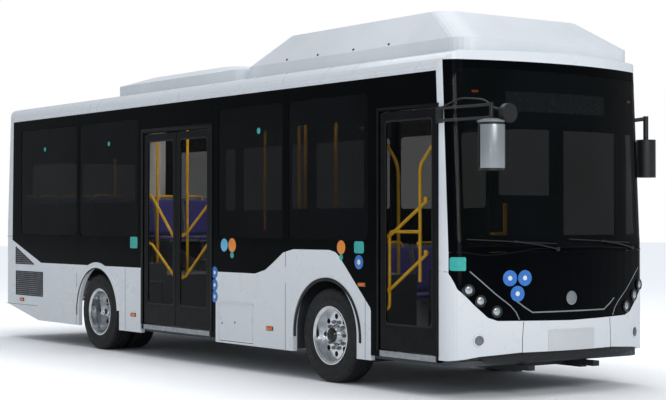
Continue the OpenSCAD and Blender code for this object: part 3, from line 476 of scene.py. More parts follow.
# %% Floor vinyl and seat fabric
# The flecks lie 4 mm apart.
vinyl, tree, shader, place = surface("Speckled grey floor vinyl", Roughness=0.62)
flecks = node(tree, "ShaderNodeTexVoronoi", {"Vector": place, "Scale": 260.0}).outputs["Distance"]
fleck_mask = node(tree, "ShaderNodeMath", {0: flecks, 1: 0.18}, operation="LESS_THAN").outputs[0]
tree.links.new(two_tone(tree, fleck_mask, "#3B4147", "#7E868E"), shader.inputs["Base Color"])
tree.links.new(bump(tree, grain(tree, place, 0.002, 2), 0.3, 0.0005), shader.inputs["Normal"])

# The weave has 36 mm checks in two close colours. Threads are 1 mm apart and are drawn several times coarser.
fabric, tree, shader, place = surface("Blue and violet woven seat fabric", Roughness=0.9,
                                      Sheen_Weight=0.3)
checks = node(tree, "ShaderNodeTexChecker", {"Vector": place, "Scale": 28.0}).outputs["Fac"]
threads = node(tree, "ShaderNodeTexWave", {"Vector": place, "Scale": 95.0, "Distortion": 1.5},
               wave_type="BANDS", bands_direction="DIAGONAL").outputs["Fac"]
weave = node(tree, "ShaderNodeMath", {0: checks, 1: spread(tree, grain(tree, place, 0.02, 3), 0, 0.6)},
             operation="MULTIPLY_ADD")
tree.links.new(grain(tree, place, 0.006, 2), weave.inputs[2])
tree.links.new(two_tone(tree, weave.outputs[0], "#233A8C", "#4B3F94"), shader.inputs["Base Color"])
tree.links.new(bump(tree, threads, 0.4, 0.0008), shader.inputs["Normal"])
print("soft finishes:", vinyl.name, fabric.name)

# %% [markdown]
# Bare metal shows how it was worked. The forged wheels are turned and polished, door pillars are brushed
# stainless steel, and castings under the bus are left as they came from the sand.

# %% Metals
def metal(name, dark, light, blob, rough, deep):
    material, tree, shader, place = surface(name, Metallic=1.0, Roughness=rough)
    tree.links.new(two_tone(tree, spread(tree, grain(tree, place, blob, 3), 0, 1), dark, light),
                   shader.inputs["Base Color"])
    tree.links.new(spread(tree, grain(tree, place, blob * 0.5), rough - 0.05, rough + 0.06),
                   shader.inputs["Roughness"])
    tree.links.new(bump(tree, grain(tree, place, 0.0015, 2), 0.12, deep), shader.inputs["Normal"])
    return material

# Polished forging: bright, and cloudy in patches where brake dust has dulled it.
polished = metal("Polished forged aluminium wheel", "#C9CCCF", "#E4E6E8", 0.05, 0.2, 0.0002)
# Brushing leaves lines a tenth of a millimetre wide, drawn here as a 10 mm unevenness of shine.
steel = metal("Brushed stainless steel", "#8E9296", "#A6AAAE", 0.01, 0.32, 0.0003)
# A sand casting is dull and slightly rough all over.
casting = metal("Cast aluminium housing", "#74787C", "#8B8F93", 0.05, 0.48, 0.001)
# Rolled aluminium, scuffed by shoes.
sill_metal = metal("Ribbed aluminium step edge", "#9A9EA2", "#B5B9BD", 0.03, 0.36, 0.0004)
# Silver behind glass: the smoothest surface of the bus.
silvered = metal("Silvered mirror glass", "#AEB6BC", "#C2C9CE", 0.3, 0.08, 0.00001)
print("metals ready")

# %% [markdown]
# Lenses are acrylic or polycarbonate, dyed in the melt, and stickers are cast vinyl film. Both are even in
# colour and smooth, so a slight drift between two close tones is all that they need.

# %% Lacquer, lenses and films
# The gloss varies a little and the face ripples faintly every 2 mm, which keeps moulded lenses and hand-laid
# film from looking like flat paint.
def coloured(name, dark, light, rough, blob=0.02, **values):
    material, tree, shader, place = surface(name, Roughness=rough, **values)
    tree.links.new(two_tone(tree, spread(tree, grain(tree, place, blob), 0, 1), dark, light),
                   shader.inputs["Base Color"])
    tree.links.new(spread(tree, grain(tree, place, 0.03), rough - 0.04, rough + 0.06),
                   shader.inputs["Roughness"])
    tree.links.new(bump(tree, grain(tree, place, 0.002, 2), 0.1, 0.0001), shader.inputs["Normal"])
    return material

# Metal flakes in lacquer glint, but less than plated metal does.
chrome = coloured("Silver lacquer on plastic", "#868C90", "#959A9E", 0.32, 0.2, Metallic=0.4)
# Dyed lens plastic has the higher IOR of polycarbonate.
amber = coloured("Amber marker lens", "#D9650A", "#F0811A", 0.18, IOR=1.58)
red = coloured("Red tail lens", "#8E0B10", "#B01318", 0.18, IOR=1.58)
clear_lens = coloured("Clear lamp cover over a bright reflector", "#A4ABB1", "#C6CCD1", 0.1,
                      Metallic=0.5)
dark_lens = coloured("Smoked lamp housing", "#0B0C0E", "#15171A", 0.14, IOR=1.58)
# Sign glass and plate sheet are blank.
display = coloured("Dark green-grey sign glass", "#1E2424", "#2A3232", 0.22, 0.01, IOR=1.5)
plate_metal = coloured("Blank reflective plate sheet", "#CFD2D5", "#D3D6D9", 0.35, 0.3, Metallic=0.1)
# Vinyl film has a satin face.
film_teal = coloured("Teal vinyl film", "#2FA79F", "#37B4AC", 0.35)
film_sky = coloured("Light blue vinyl film", "#5FB3DD", "#6DBEE4", 0.35)
film_blue = coloured("Blue vinyl film", "#2F6FC0", "#3A7CCB", 0.35)
film_orange = coloured("Orange vinyl film", "#E8862A", "#F09438", 0.35)
film_white = coloured("White vinyl film", "#DFE3E6", "#E9ECEF", 0.35)
# An opal cover spreads the light of the diodes behind it.
light_bar = coloured("Frosted saloon light diffuser", "#D5D9DC", "#E4E7E9", 0.4,
                     Emission_Color=linear("#FFF6E8"), Emission_Strength=9.0)
print(len(bpy.data.materials), "materials")

# %% [markdown]
# ## Finish for the frame's own parts
# Each part of the frame gets the finish of what it is made of. Smooth shading by angle keeps turned faces
# round and folded edges sharp, and it changes only how the light falls on them, not their shape.

# %% Give each frame part its finish
finishes = {
    white: ["roof", "right_skirts", "left_skirts", "rear_wall", "rear_lid", "front_bumper",
            "corner_posts", "charge_flap"],
    pod_paint: ["roof_pods"],
    casting: ["battery_pack", "drive_motor"],
    band_black: ["right_window_band", "left_window_band", "front_mask"],
    trim_grey: ["front_door", "mid_door_front", "mid_door_rear"],
    glass: ["window_glass"],
    screen_glass: ["windscreen"],
    door_glass: ["front_door_glass", "mid_door_front_glass", "mid_door_rear_glass"],
    vinyl: ["floor"],
    wax: ["chassis_frame"],
    bellows: ["air_springs"],
    seat_shell: ["seat_shells"],
    fabric: ["seat_pads"],
    yellow: ["handrails"],
    dash: ["dashboard", "steering_wheel"],
    iron: ["front_axle", "right_knuckle", "left_knuckle", "rear_axle"],
    polished: ["front_right_rim", "front_left_rim", "rear_right_rims", "rear_left_rims"],
    tyre_rubber: ["front_right_tyre", "front_left_tyre", "rear_right_tyres", "rear_left_tyres"],
    steel: ["front_door_pillar", "mid_door_front_pillar", "mid_door_rear_pillar"],
    clear_lens: ["lamps"],
    mirror_shell: ["mirrors"],
}
for finish, names in finishes.items():
    for name in names:
        part = nodes[name]
        part.data.materials.clear()
        part.data.materials.append(finish)
        soften(part, 30)
print(sum(len(names) for names in finishes.values()), "of", len(nodes), "parts have a finish")

# %% [markdown]
# ## A way to finish a new piece
# A new piece needs three facts: what it is made of, which moving body carries it, and whether it takes
# over from a plain part of the frame. One call applies them all.

# %% Finish and hang a piece
def hang(piece, body, material, instead=()):
    piece.data.materials.clear()
    piece.data.materials.append(material)
    soften(piece)
    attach(piece, body)
    if instead:
        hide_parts(*instead)
    print(f"{piece.name}: {len(piece.data.polygons)} faces on {body}")
    return piece

let_go()

# %% [markdown]
# ## Tyres
# A bus tyre is built up on a drum and cured in a mould that presses the tread into it, so it is a turned
# shape. Its section is drawn once and spun round the axle in 120 steps. The four grooves that lead water
# away are part of the section, and the shoulder blocks are pushed in afterwards on every third step.

# %% Turn one front tyre
def spun(name, section, centre, steps, direction):
    """A closed section of (radius, across) pairs turned round an axle that runs along Y."""
    piece = outline(name, [(centre.x, centre.y + across * direction, centre.z + r) for r, across in section])
    edit(piece, "EDGE")
    bpy.ops.mesh.delete(type="ONLY_FACE")
    bpy.ops.mesh.select_all(action="SELECT")
    bpy.ops.mesh.spin(steps=steps, angle=math.tau, center=centre, axis=(0, 1, 0))
    bpy.ops.mesh.select_all(action="SELECT")
    bpy.ops.mesh.remove_doubles(threshold=0.0001)
    leave()
    return settle(piece)

half_w = (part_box("front_right_tyre")[1].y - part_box("front_right_tyre")[0].y) / 2
rim_r = (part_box("front_right_rim")[1].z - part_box("front_right_rim")[0].z) / 2
groove = 0.011
section = [(rim_r + 0.003, half_w - 0.0225), (rim_r + 0.012, half_w - 0.008), (rim_r + 0.03, half_w - 0.002),
           (rim_r + 0.055, half_w - 0.003), (rim_r + 0.058, half_w), (rim_r + 0.085, half_w),
           (rim_r + 0.088, half_w - 0.002), (tyre_r - 0.055, half_w - 0.003), (tyre_r - 0.026, half_w - 0.007),
           (tyre_r - 0.008, half_w - 0.016), (tyre_r - 0.001, half_w - 0.03)]
for across in (0.078, 0.027, -0.027, -0.078):
    section += [(tyre_r, across + 0.006), (tyre_r - groove, across + 0.004),
                (tyre_r - groove, across - 0.004), (tyre_r, across - 0.006)]
section += [(r, -a) for r, a in reversed(section[:11])]
section += [(rim_r - 0.0195, 0.04 - half_w), (rim_r - 0.0195, half_w - 0.04)]

front_hub = middle("front_right_tyre")
front_tyre = spun("front_tyre", section, front_hub, 120, -1)

def every_third(face, normal):
    spoke = face - front_hub
    turn = math.degrees(math.atan2(spoke.z, spoke.x)) % 9
    off = abs(abs(spoke.y) - (half_w - 0.012))
    return turn < 3.1 and off < 0.006 and math.hypot(spoke.x, spoke.z) > tyre_r - 0.03

edit(front_tyre, "FACE", every_third)
bpy.ops.mesh.inset(thickness=0.0015)
bpy.ops.transform.shrink_fatten(value=-0.004)
leave()
print("one tyre has", len(front_tyre.data.polygons), "faces and", len(section), "points in its section")

# %% [markdown]
# The other tyres are the same casing, moved. The pair at each end of the rear axle is bolted to one hub
# and turns as one, so the two are one piece here as well.

# %% Copy the tyre to every wheel
def shift(node_name, across=0.0):
    return Matrix.Translation(middle(node_name) + Vector((0, across, 0)) - front_hub)

twin = (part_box("rear_right_tyres")[1].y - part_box("rear_right_tyres")[0].y) / 2 - half_w
left_tyre = copy_to(front_tyre, shift("front_left_tyre"))
left_tyre.name = "front_left_tyre_tread"
pairs = []
for side in ("right", "left"):
    both = [copy_to(front_tyre, shift(f"rear_{side}_tyres", off)) for off in (-twin, twin)]
    pairs.append(hang(joined(f"rear_{side}_tyre_treads", both), f"rear_{side}_wheels", tyre_rubber,
                      [f"rear_{side}_tyres"]))
front_tyre.name = "front_right_tyre_tread"
hang(front_tyre, "front_right_wheel", tyre_rubber, ["front_right_tyre"])
hang(left_tyre, "front_left_wheel", tyre_rubber, ["front_left_tyre"])

# %% [markdown]
# ## Wheel nuts, hub caps and valves
# Ten nuts hold each wheel to its hub, on a circle that runs between the hub and the round hand holes. A
# nut is a hexagon with a flat washer face, and its top is eased so that a spanner finds it. The nut is
# made once and turned round the axle ten times.

# %% Nuts round one wheel
nut_circle = 0.136

def nut(name, centre, outward):
    let_go()
    bpy.ops.mesh.primitive_cylinder_add(vertices=6, radius=0.0185, depth=0.022, location=centre,
                                        rotation=(math.radians(90), 0, 0))
    piece = bpy.context.object
    piece.name = name
    bpy.ops.object.transform_apply(location=True, rotation=True, scale=True)
    edit(piece, "FACE", lambda face, normal: normal.y * outward > 0.9)
    bpy.ops.mesh.inset(thickness=0.004)
    slide((0, outward * 0.003, 0))
    bpy.ops.mesh.inset(thickness=0.004)
    slide((0, outward * 0.006, 0))
    leave()
    washer = disc(name + "_washer", centre - Vector((0, outward * 0.009, 0)), 0.021, 0.006, "Y", 0.001, 20)
    return joined(name, [settle(piece), washer])

def wheel_dress(name, hub, face_y, outward, cap_r, cap_y, cap_out):
    """Nuts, a hub cap and a valve for one wheel; face_y is the outside of the disc at the nuts."""
    first = nut(name, Vector((hub.x + nut_circle, face_y + outward * 0.011, hub.z)), outward)
    ring_of = [first]
    for turn in range(1, 10):
        spin = Matrix.Rotation(math.tau * turn / 10, 4, "Y")
        ring_of.append(copy_to(first, Matrix.Translation(hub) @ spin @ Matrix.Translation(-hub)))
    valve = rod(name + "_valve", [hub + Vector((0.215, face_y - hub.y + outward * 0.002, 0.05)),
                                  hub + Vector((0.225, face_y - hub.y + outward * 0.03, 0.052)),
                                  hub + Vector((0.243, face_y - hub.y + outward * 0.038, 0.056))], 0.005, 0.01)
    nuts = joined(name + "_nuts", ring_of + [valve])
    cap = spun(name + "_cap", [(0.001, cap_out), (cap_r - 0.022, cap_out), (cap_r - 0.006, cap_out - 0.008),
                               (cap_r, cap_out - 0.022), (cap_r, 0.004), (cap_r + 0.012, 0.002),
                               (cap_r + 0.012, -0.004), (0.001, -0.004)],
               Vector((hub.x, cap_y, hub.z)), 48, outward)
    return nuts, cap

dish = {"front": (0.048, 0.105, 0.066, 0.022), "rear": (-0.052, 0.005, 0.066, 0.03)}
for axle, (face, cap_base, cap_r, cap_out) in dish.items():
    for side, outward in (("right", -1), ("left", 1)):
        hub = middle(f"front_{side}_tyre")
        if axle == "rear":
            hub = Vector((rear_x, hub.y, hub.z))
        body = f"front_{side}_wheel" if axle == "front" else f"rear_{side}_wheels"
        nuts, cap = wheel_dress(f"{axle}_{side}", hub, hub.y + outward * face, outward, cap_r,
                                hub.y + outward * cap_base, cap_out)
        hang(nuts, body, steel)
        hang(cap, body, dark_lens if axle == "front" else polished)
        if axle == "front":
            tag = disc(f"{axle}_{side}_cap_mark", (hub.x + 0.02, hub.y + outward * (cap_base + cap_out + 0.001),
                                                   hub.z + 0.018), 0.011, 0.003, "Y", 0.0006, 24)
            hang(tag, body, yellow)

# %% [markdown]
# ## Glazing on the sides
# Each side pane is glued into its opening. From outside one sees a thin bead of sealant round the pane and
# the wide ceramic print behind its edge. The print is made as a ring: an outer outline as large as the
# pane, an inner outline as large as the clear part, and two millimetres of thickness.

# %% Ceramic print behind the side windows
glass_in = side_y - 0.016

def side_ring(name, pane, clear, side):
    """pane and clear are (x0, z0, x1, z1) from the front axle; side is -1 on the right."""
    def on_side(x, z):
        return (front_x + x, side * glass_in, z)
    outer = rounded(pane[:2], pane[2:], 0.055)
    inner = rounded(clear[:2], clear[2:], 0.045)
    piece = ring(name, outer, inner, on_side, (0, -side * 0.002, 0))
    hang(piece, "body", ceramic)

def bead(name, pane, side):
    def on_side(x, z):
        return (front_x + x, side * (side_y + 0.0005), z)
    grow = 0.004
    outer = rounded((pane[0] - grow, pane[1] - grow), (pane[2] + grow, pane[3] + grow), 0.064)
    inner = rounded((pane[0] + 0.003, pane[1] + 0.003), (pane[2] - 0.003, pane[3] - 0.003), 0.057)
    return ring(name, outer, inner, on_side, (0, -side * 0.006, 0))

pane_low, pane_high = 1.44, 2.88
right_panes = {"rear": (-7.34, pane_low, -5.62, pane_high), "third": (-5.54, pane_low, -3.96, pane_high),
               "second": (-2.09, pane_low, -0.79, pane_high), "first": (-0.69, pane_low, 0.69, pane_high)}
right_clear = {"rear": (-7.26, 1.86, -5.66, 2.40), "third": (-5.50, 1.86, -4.06, 2.40),
               "second": (-1.95, 1.52, -0.84, 2.60), "first": (-0.64, 1.76, 0.61, 2.62)}
for name, pane in right_panes.items():
    side_ring(f"right_{name}_window_print", pane, right_clear[name], -1)
beads = joined("right_window_beads", [bead(f"bead_{name}", pane, -1) for name, pane in right_panes.items()])
hang(beads, "body", sealant)

left_edges = [-7.34, -5.58, -3.82, -2.05, -0.29, 0.73, 1.64]
driver_pane, driver_low = 5, 1.24
left_beads = []
for i, (x0, x1) in enumerate(zip(left_edges, left_edges[1:])):
    pane = (x0 + (0.04 if i else 0), driver_low if i == driver_pane else pane_low,
            x1 - (0.04 if i < driver_pane else 0), pane_high)
    clear = (pane[0] + 0.07, pane[1] + (0.1 if i == driver_pane else 0.34), pane[2] - 0.07, 2.64)
    side_ring(f"left_window_print_{i}", pane, clear, 1)
    left_beads.append(bead(f"left_bead_{i}", pane, 1))
hang(joined("left_window_beads", left_beads), "body", sealant)

# %% [markdown]
# ## Seams and mouldings of the right side
# The side of a bus is a row of panels that can be changed after a scrape, so thin lines cross it. They are
# filled with black sealant. A raised fibreglass ring is bonded round the rear wheel arch, and a rubber lip
# round the front one keeps spray off the panel.

# %% Seams, arch ring and arch lip
def seam(name, x0, z0, x1, z1, side=-1, width=0.004, proud=0.0012):
    """A line of sealant between two points on the side."""
    run = Vector((x1 - x0, 0, z1 - z0))
    off = Vector((-run.z, 0, run.x)).normalized() * width / 2
    a, b = at(x0, side * (side_y - 0.003), z0), at(x1, side * (side_y - 0.003), z1)
    return outline(name, [a + off, a - off, b - off, b + off], (0, side * (0.003 + proud), 0))

seams = [seam("seam", x, 0.29, x, top) for x, top in ((-5.62, 0.95), (-4.28, 1.05), (-3.885, 1.05),
                                                       (-2.245, 1.05), (-0.744, 0.98), (0.65, 0.95))]
seams += [seam("seam", x, 1.10, x, 3.02) for x in (-3.88, -2.2)]
seams += [seam("seam", x, 1.15, x, 3.02) for x in (-5.58, -0.74, 0.762)]
seams += [seam("seam", -7.82, 1.42, -7.64, 1.42), seam("seam", -7.83, 0.475, -6.80, 0.475)]
hang(joined("right_panel_seams", seams), "body", sealant)
left_seams = [seam("seam", x, 0.29, x, 1.30, 1) for x in (-6.9, -5.75, -4.35, -3.1, -1.85, -0.66, 0.62)]
left_seams += [seam("seam", x, 1.40, x, 3.02, 1) for x in (-5.58, -3.82, -2.05, -0.29, 0.73)]
hang(joined("left_panel_seams", left_seams), "body", sealant)

def arch_ring(name, centre_x, r_in, r_out, side, proud, start=8, end=172):
    inner = arc((centre_x, wheel_z), r_in, start, end, 48)
    outer = arc((centre_x, wheel_z), r_out, start, end, 48)
    y = side * (side_y - 0.004)
    piece = outline(name, [at(x, y, z) for x, z in outer + inner[::-1]], (0, side * (0.004 + proud), 0))
    edit(piece, "EDGE", lambda a, b: min(a.y * side, b.y * side) > side_y + proud - 0.001)
    bpy.ops.mesh.bevel(offset=min(0.004, proud * 0.45), segments=2)
    leave()
    return settle(piece)

for side, label in ((-1, "right"), (1, "left")):
    hang(arch_ring(f"{label}_rear_arch_ring", rear_x - front_x, 0.562, 0.632, side, 0.010, 4, 176), "body",
         white)
    hang(arch_ring(f"{label}_rear_arch_lip", rear_x - front_x, 0.546, 0.566, side, 0.006, -6, 186), "body",
         seal_rubber)
    hang(arch_ring(f"{label}_front_arch_lip", 0.0, 0.552, 0.585, side, 0.008, -4, 184), "body",
         seal_rubber)

# %% [markdown]
# ## Air vents at the rear corner
# The rear unit breathes through two grilles: a triangle under the sloping edge of the window band, and a
# rectangle lower down. Each is a shallow frame with thin slats that lean down and outwards to shed rain.
# One slat is made and repeated, and the triangle's slats get shorter as the frame narrows.

# %% Frames and slats
def louvres(name, corners, pitch, side=-1):
    """corners are (x, z); the slats run between the outline's edges at each height."""
    y = side * (side_y + 0.0005)
    parts = []
    for (xa, za), (xb, zb) in zip(corners, corners[1:] + corners[:1]):
        parts.append(rod("edge", [at(xa, y, za), at(xb, y, zb)], 0.006, 0, 2))
    z = min(c[1] for c in corners) + pitch
    while z < max(c[1] for c in corners) - pitch * 0.6:
        hits = []
        for (xa, za), (xb, zb) in zip(corners, corners[1:] + corners[:1]):
            if min(za, zb) <= z < max(za, zb):
                hits.append(xa + (xb - xa) * (z - za) / (zb - za))
        if len(hits) == 2 and abs(hits[1] - hits[0]) > 0.03:
            low, high = sorted(hits)
            slat = plate("slat", at(low, -0.0015, -0.009), at(high, 0.0015, 0.009), 0.001, 1)
            slat.data.transform(Matrix.Translation((0, side * (side_y + 0.002), z))
                                @ Matrix.Rotation(math.radians(-side * 32), 4, "X"))
            parts.append(slat)
        z += pitch
    return settle(joined(name, parts))

for side, label in ((-1, "right"), (1, "left")):
    box_grille = louvres(f"{label}_rear_grille", [(-7.50, 0.61), (-6.64, 0.61), (-6.64, 0.935),
                                                 (-7.50, 0.935)], 0.027, side)
    hang(box_grille, "body", trim_grey)
    backing = outline(f"{label}_rear_grille_mesh", [at(x, side * (side_y - 0.003), z) for x, z in
                      ((-7.50, 0.61), (-6.64, 0.61), (-6.64, 0.935), (-7.50, 0.935))], (0, side * 0.0038, 0))
    hang(backing, "body", casting)
corner_grille = louvres("right_corner_grille", [(-7.51, 1.04), (-6.92, 1.04), (-7.51, 1.27)], 0.027)
hang(corner_grille, "body", trim_grey)
corner_back = outline("right_corner_grille_mesh", [at(x, -(side_y - 0.003), z) for x, z in
                      ((-7.51, 1.04), (-6.92, 1.04), (-7.51, 1.27))], (0, -0.0038, 0))
hang(corner_back, "body", casting)

# %% [markdown]
# ## Side marker lamps
# Amber lamps mark the length of the bus at night. Each is a rounded lens on a black rubber seat, pressed
# into a slot in the panel. The lens is a plate whose outer face is inset and pulled out to make it domed.

# %% Marker lamps along both sides
def marker(name, x, z, side, lens, long=0.11, tall=0.034):
    y0, y1 = side * (side_y - 0.004), side * (side_y + 0.005)
    seat = plate("seat", at(x - long / 2 - 0.008, min(y0, y1), z - tall / 2 - 0.006),
                 at(x + long / 2 + 0.008, max(y0, y1), z + tall / 2 + 0.006), 0.004)
    y2 = side * (side_y + 0.012)
    cover = plate("lens", at(x - long / 2, min(y1, y2) - 0.002, z - tall / 2),
                  at(x + long / 2, max(y1, y2), z + tall / 2), 0.003)
    edit(cover, "FACE", lambda face, normal: normal.y * side > 0.95 and face.y * side > side_y + 0.010)
    bpy.ops.mesh.inset(thickness=0.006)
    slide((0, side * 0.003, 0))
    leave()
    hang(seat, "body", seal_rubber)
    seat.name = name + "_seat"
    cover = settle(cover)
    cover.name = name + "_lens"
    hang(cover, "body", lens)

for i, (x, z) in enumerate(((-7.30, 0.545), (-4.07, 0.487), (-1.04, 0.489), (0.60, 1.01))):
    marker(f"right_marker_{i}", x, z, -1, amber)
    marker(f"left_marker_{i}", x, z, 1, amber)

# %% [markdown]
# ## Doors
# Each doorway has a dark frame let into the side and an aluminium edge on the step. The step edge is
# ribbed, so that a wet shoe does not slip. A low handle lifts the ramp at the middle door.

# %% Door frames and step edges
def doorway(name, x0, x1, top, post=0.045):
    y = -(side_y - 0.004)
    out, low = 0.008, 0.39
    outer = [(x0 - post, low), (x1 + post, low), (x1 + post, top + post), (x0 - post, top + post)]
    inner = [(x0 - 0.002, low), (x1 + 0.002, low), (x1 + 0.002, top), (x0 - 0.002, top)]
    path = [outer[0], inner[0], inner[3], inner[2], inner[1], outer[1], outer[2], outer[3]]
    frame_piece = outline(name, [at(x, y, z) for x, z in path], (0, -(0.004 + out), 0))
    edit(frame_piece, "EDGE", lambda a, b: min(-a.y, -b.y) > side_y + out - 0.002)
    bpy.ops.mesh.bevel(offset=0.003, segments=2)
    leave()
    return hang(settle(frame_piece), "body", trim_grey)

door_top = 2.69
doorway("mid_doorway_frame", -3.82, -2.26, door_top, 0.05)
doorway("front_doorway_frame", 0.872, 1.742, door_top, 0.03)

def step_edge(name, x0, x1, z0, z1):
    """A step nosing: a plate with four anti-slip ribs pulled out of its outer face."""
    low, high = at(x0, -(side_y + 0.006), z0), at(x1, -(side_y - 0.006), z1)
    piece = plate(name, low, high, 0.002, 1)
    ribs = [plate("rib", (low.x + 0.01, low.y - 0.0025, z), (high.x - 0.01, low.y + 0.001, z + 0.004),
                  0.0008, 1)
            for z in (z0 + 0.010, z0 + 0.022, z0 + 0.034, z0 + 0.046) if z < z1 - 0.006]
    return hang(joined(name, [piece] + ribs), "body", sill_metal)

step_edge("mid_step_edge", -3.80, -2.28, 0.334, 0.390)
step_edge("front_step_edge", 0.89, 1.728, 0.334, 0.390)
ramp_handle = rod("ramp_handle", [at(-3.15, -1.236, 0.395), at(-3.15, -1.236, 0.40), at(-2.95, -1.236, 0.40),
                                  at(-2.95, -1.236, 0.395)], 0.003, 0.003)
hang(ramp_handle, "body", steel)

# %% [markdown]
# The strips that meet between two leaves are rubber tubes with a soft lip, so a trapped hand is felt and
# not crushed. The glass of a leaf sits in a rubber gasket, which is a ring pulled out by eight
# millimetres.

# %% Seals on the leaf edges and gaskets round their glass
leaf_y = (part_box("front_door_glass")[0].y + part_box("front_door_glass")[1].y) / 2
leaves = {
    "front": ("front_leaf", "front_door", "front_door_glass", -1),
    "mid_rear": ("mid_rear_leaf", "mid_door_rear", "mid_door_rear_glass", 1),
    "mid_front": ("mid_front_leaf", "mid_door_front", "mid_door_front_glass", -1),
}
for name, (body, panel, pane, shut_side) in leaves.items():
    low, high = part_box(pane)
    def on_leaf(x, z):
        return (x, leaf_y - 0.0055, z)
    outer = rounded((low.x - 0.004, low.z - 0.004), (high.x + 0.004, high.z + 0.004), 0.05)
    inner = rounded((low.x + 0.014, low.z + 0.014), (high.x - 0.014, high.z - 0.014), 0.04)
    gasket = ring(f"{name}_leaf_gasket", outer, inner, on_leaf, (0, -0.008, 0))
    hang(gasket, body, seal_rubber)
    edge_x = (high.x + 0.054) if shut_side > 0 else (low.x - 0.054)
    if name == "front":
        edge_x = high.x + 0.052
    lip = rod(f"{name}_leaf_seal", [(edge_x, leaf_y - 0.008, 0.42), (edge_x, leaf_y - 0.008, 2.655)],
              0.0065, 0, 4)
    hang(lip, body, seal_rubber)

# %% [markdown]
# The yellow rails are steel tube, bent to shape and powder coated, with a flange at each end. They cross
# the glass of a leaf on its inner side: one pair slopes up towards the gap between the middle leaves, and
# the front leaf carries a long pair that a boarding passenger follows with the hand.

# %% Grab rails on the door leaves
def flanged(name, points, body, radius=0.016, bend=0.05):
    run = [Vector(p) for p in points]
    parts = [rod(name, run, radius, bend, 4)]
    for end in (run[0], run[-1]):
        parts.append(disc("flange", (end.x, leaf_y + 0.021, end.z), 0.026, 0.006, "Y", 0.0015, 24))
    return hang(joined(name, parts), body, yellow)

def leaf_rail(name, x0, z0, x1, z1, body):
    back, rest = leaf_y + 0.016, leaf_y + 0.058
    flanged(name, [(front_x + x0, back, z0), (front_x + x0, rest, z0), (front_x + x1, rest, z1),
                   (front_x + x1, back, z1)], body)

leaf_rail("mid_rear_rail_high", -3.76, 1.94, -3.13, 1.36, "mid_rear_leaf")
leaf_rail("mid_rear_rail_low", -3.76, 1.36, -3.13, 0.93, "mid_rear_leaf")
leaf_rail("mid_front_rail_high", -2.95, 1.47, -2.33, 1.89, "mid_front_leaf")
leaf_rail("mid_front_rail_low", -2.95, 0.98, -2.33, 1.46, "mid_front_leaf")
leaf_rail("front_rail_high", 0.935, 1.486, 1.53, 1.834, "front_leaf")
leaf_rail("front_rail_low", 0.935, 0.966, 1.53, 1.338, "front_leaf")

# %% [markdown]
# The front leaf has uprights as well, welded to the sloping pair: a tall one that bends over to the edge of
# the leaf at its top, and a short one with a level arm.

# %% Uprights on the front leaf
back, rest = leaf_y + 0.016, leaf_y + 0.058
tall = rod("tall", [at(1.405, rest, 1.06), at(1.405, rest, 2.16), at(1.70, rest, 2.44),
                    at(1.70, back, 2.44)], 0.016, 0.06, 4)
short = rod("short", [at(0.935, back, 0.79), at(0.935, rest, 0.79), at(0.935, rest, 1.53),
                      at(1.405, rest, 1.53)], 0.016, 0.06, 4)
ends = [disc("flange", at(x, leaf_y + 0.021, z), 0.026, 0.006, "Y", 0.0015, 24) for x, z in
        ((1.70, 2.44), (0.935, 0.79))]
hang(joined("front_leaf_uprights", [tall, short] + ends), "front_leaf", yellow)

# %% [markdown]
# Two quarter-turn locks keep the charging flap shut. Each has a round head with a slot for the driver's key.

# %% Locks of the charging flap
for i, (x, z) in enumerate(((-2.005, 0.498), (-1.737, 0.515))):
    spot = at(x, -side_y - 0.001, z)
    lock = disc(f"flap_lock_{i}", spot, 0.011, 0.006, "Y", 0.0015, 28)
    slot_cut = plate("slot", spot - Vector((0.0015, 0.0045, 0.006)), spot + Vector((0.0015, -0.0025, 0.006)),
                     0.0003, 1)
    hang(joined(f"flap_lock_{i}", [lock, slot_cut]), "flap", dark_lens)

# %% [markdown]
# ## Film stickers
# Operators stick small vinyl films by the doors: round pictograms, and tags on the panes. Here they are
# plain discs and rectangles of coloured film, a third of a millimetre thick and glued on.

# %% Plain films on the right side
on_pane, on_panel, on_film = -(side_y - 0.0004), -(side_y + 0.0006), -(side_y + 0.0016)

def film_round(name, x, z, r, material, y=on_panel):
    hang(disc(name, at(x, y, z), r, 0.0014, "Y", 0.0003, 36), "body", material)

def film_flat(name, x0, z0, x1, z1, r, material, y=on_pane):
    piece = outline(name, [at(x, y, z) for x, z in rounded((x0, z0), (x1, z1), r, 3)], (0, -0.0014, 0))
    hang(piece, "body", material)

film_round("tag_rear_window", -6.581, 2.603, 0.03, film_teal, on_pane)
film_round("tag_third_window", -4.721, 2.603, 0.03, film_teal, on_pane)
film_round("tag_first_window", -1.262, 2.603, 0.034, film_teal, on_pane)
film_flat("tag_behind_mid_door", -4.155, 1.30, -3.97, 1.44, 0.02, film_teal)
film_round("mark_sky", -1.962, 1.365, 0.072, film_sky)
film_round("mark_orange", -1.797, 1.365, 0.078, film_orange)
film_round("mark_small_teal", -1.798, 1.258, 0.036, film_teal)
film_round("mark_front_orange", 0.25, 1.370, 0.070, film_orange)
film_round("mark_front_small", 0.25, 1.272, 0.030, film_teal)
film_flat("mark_front_square", 0.47, 1.315, 0.63, 1.432, 0.025, film_teal, on_panel)
film_round("mark_front_blue", 0.547, 1.228, 0.070, film_blue)
film_round("mark_front_blue_dot", 0.547, 1.228, 0.026, film_white, on_film)
for i, z in enumerate((1.055, 0.915, 0.785)):
    film_round(f"stack_blue_{i}", -2.165, z, 0.066, film_blue)
    film_round(f"stack_dot_{i}", -2.165, z, 0.022, film_white, on_film)
print("doors, locks and films done")

# %% [markdown]
# ## The curved nose
# The nose is a large arc in plan with tight arcs at its corners, and it leans back above the bumper. What
# is glued to it is cut flat, as film or sheet would be, then sliced into narrow strips and laid on the
# curve. The slicing is a row of bisect cuts, and a short function says where the surface is.

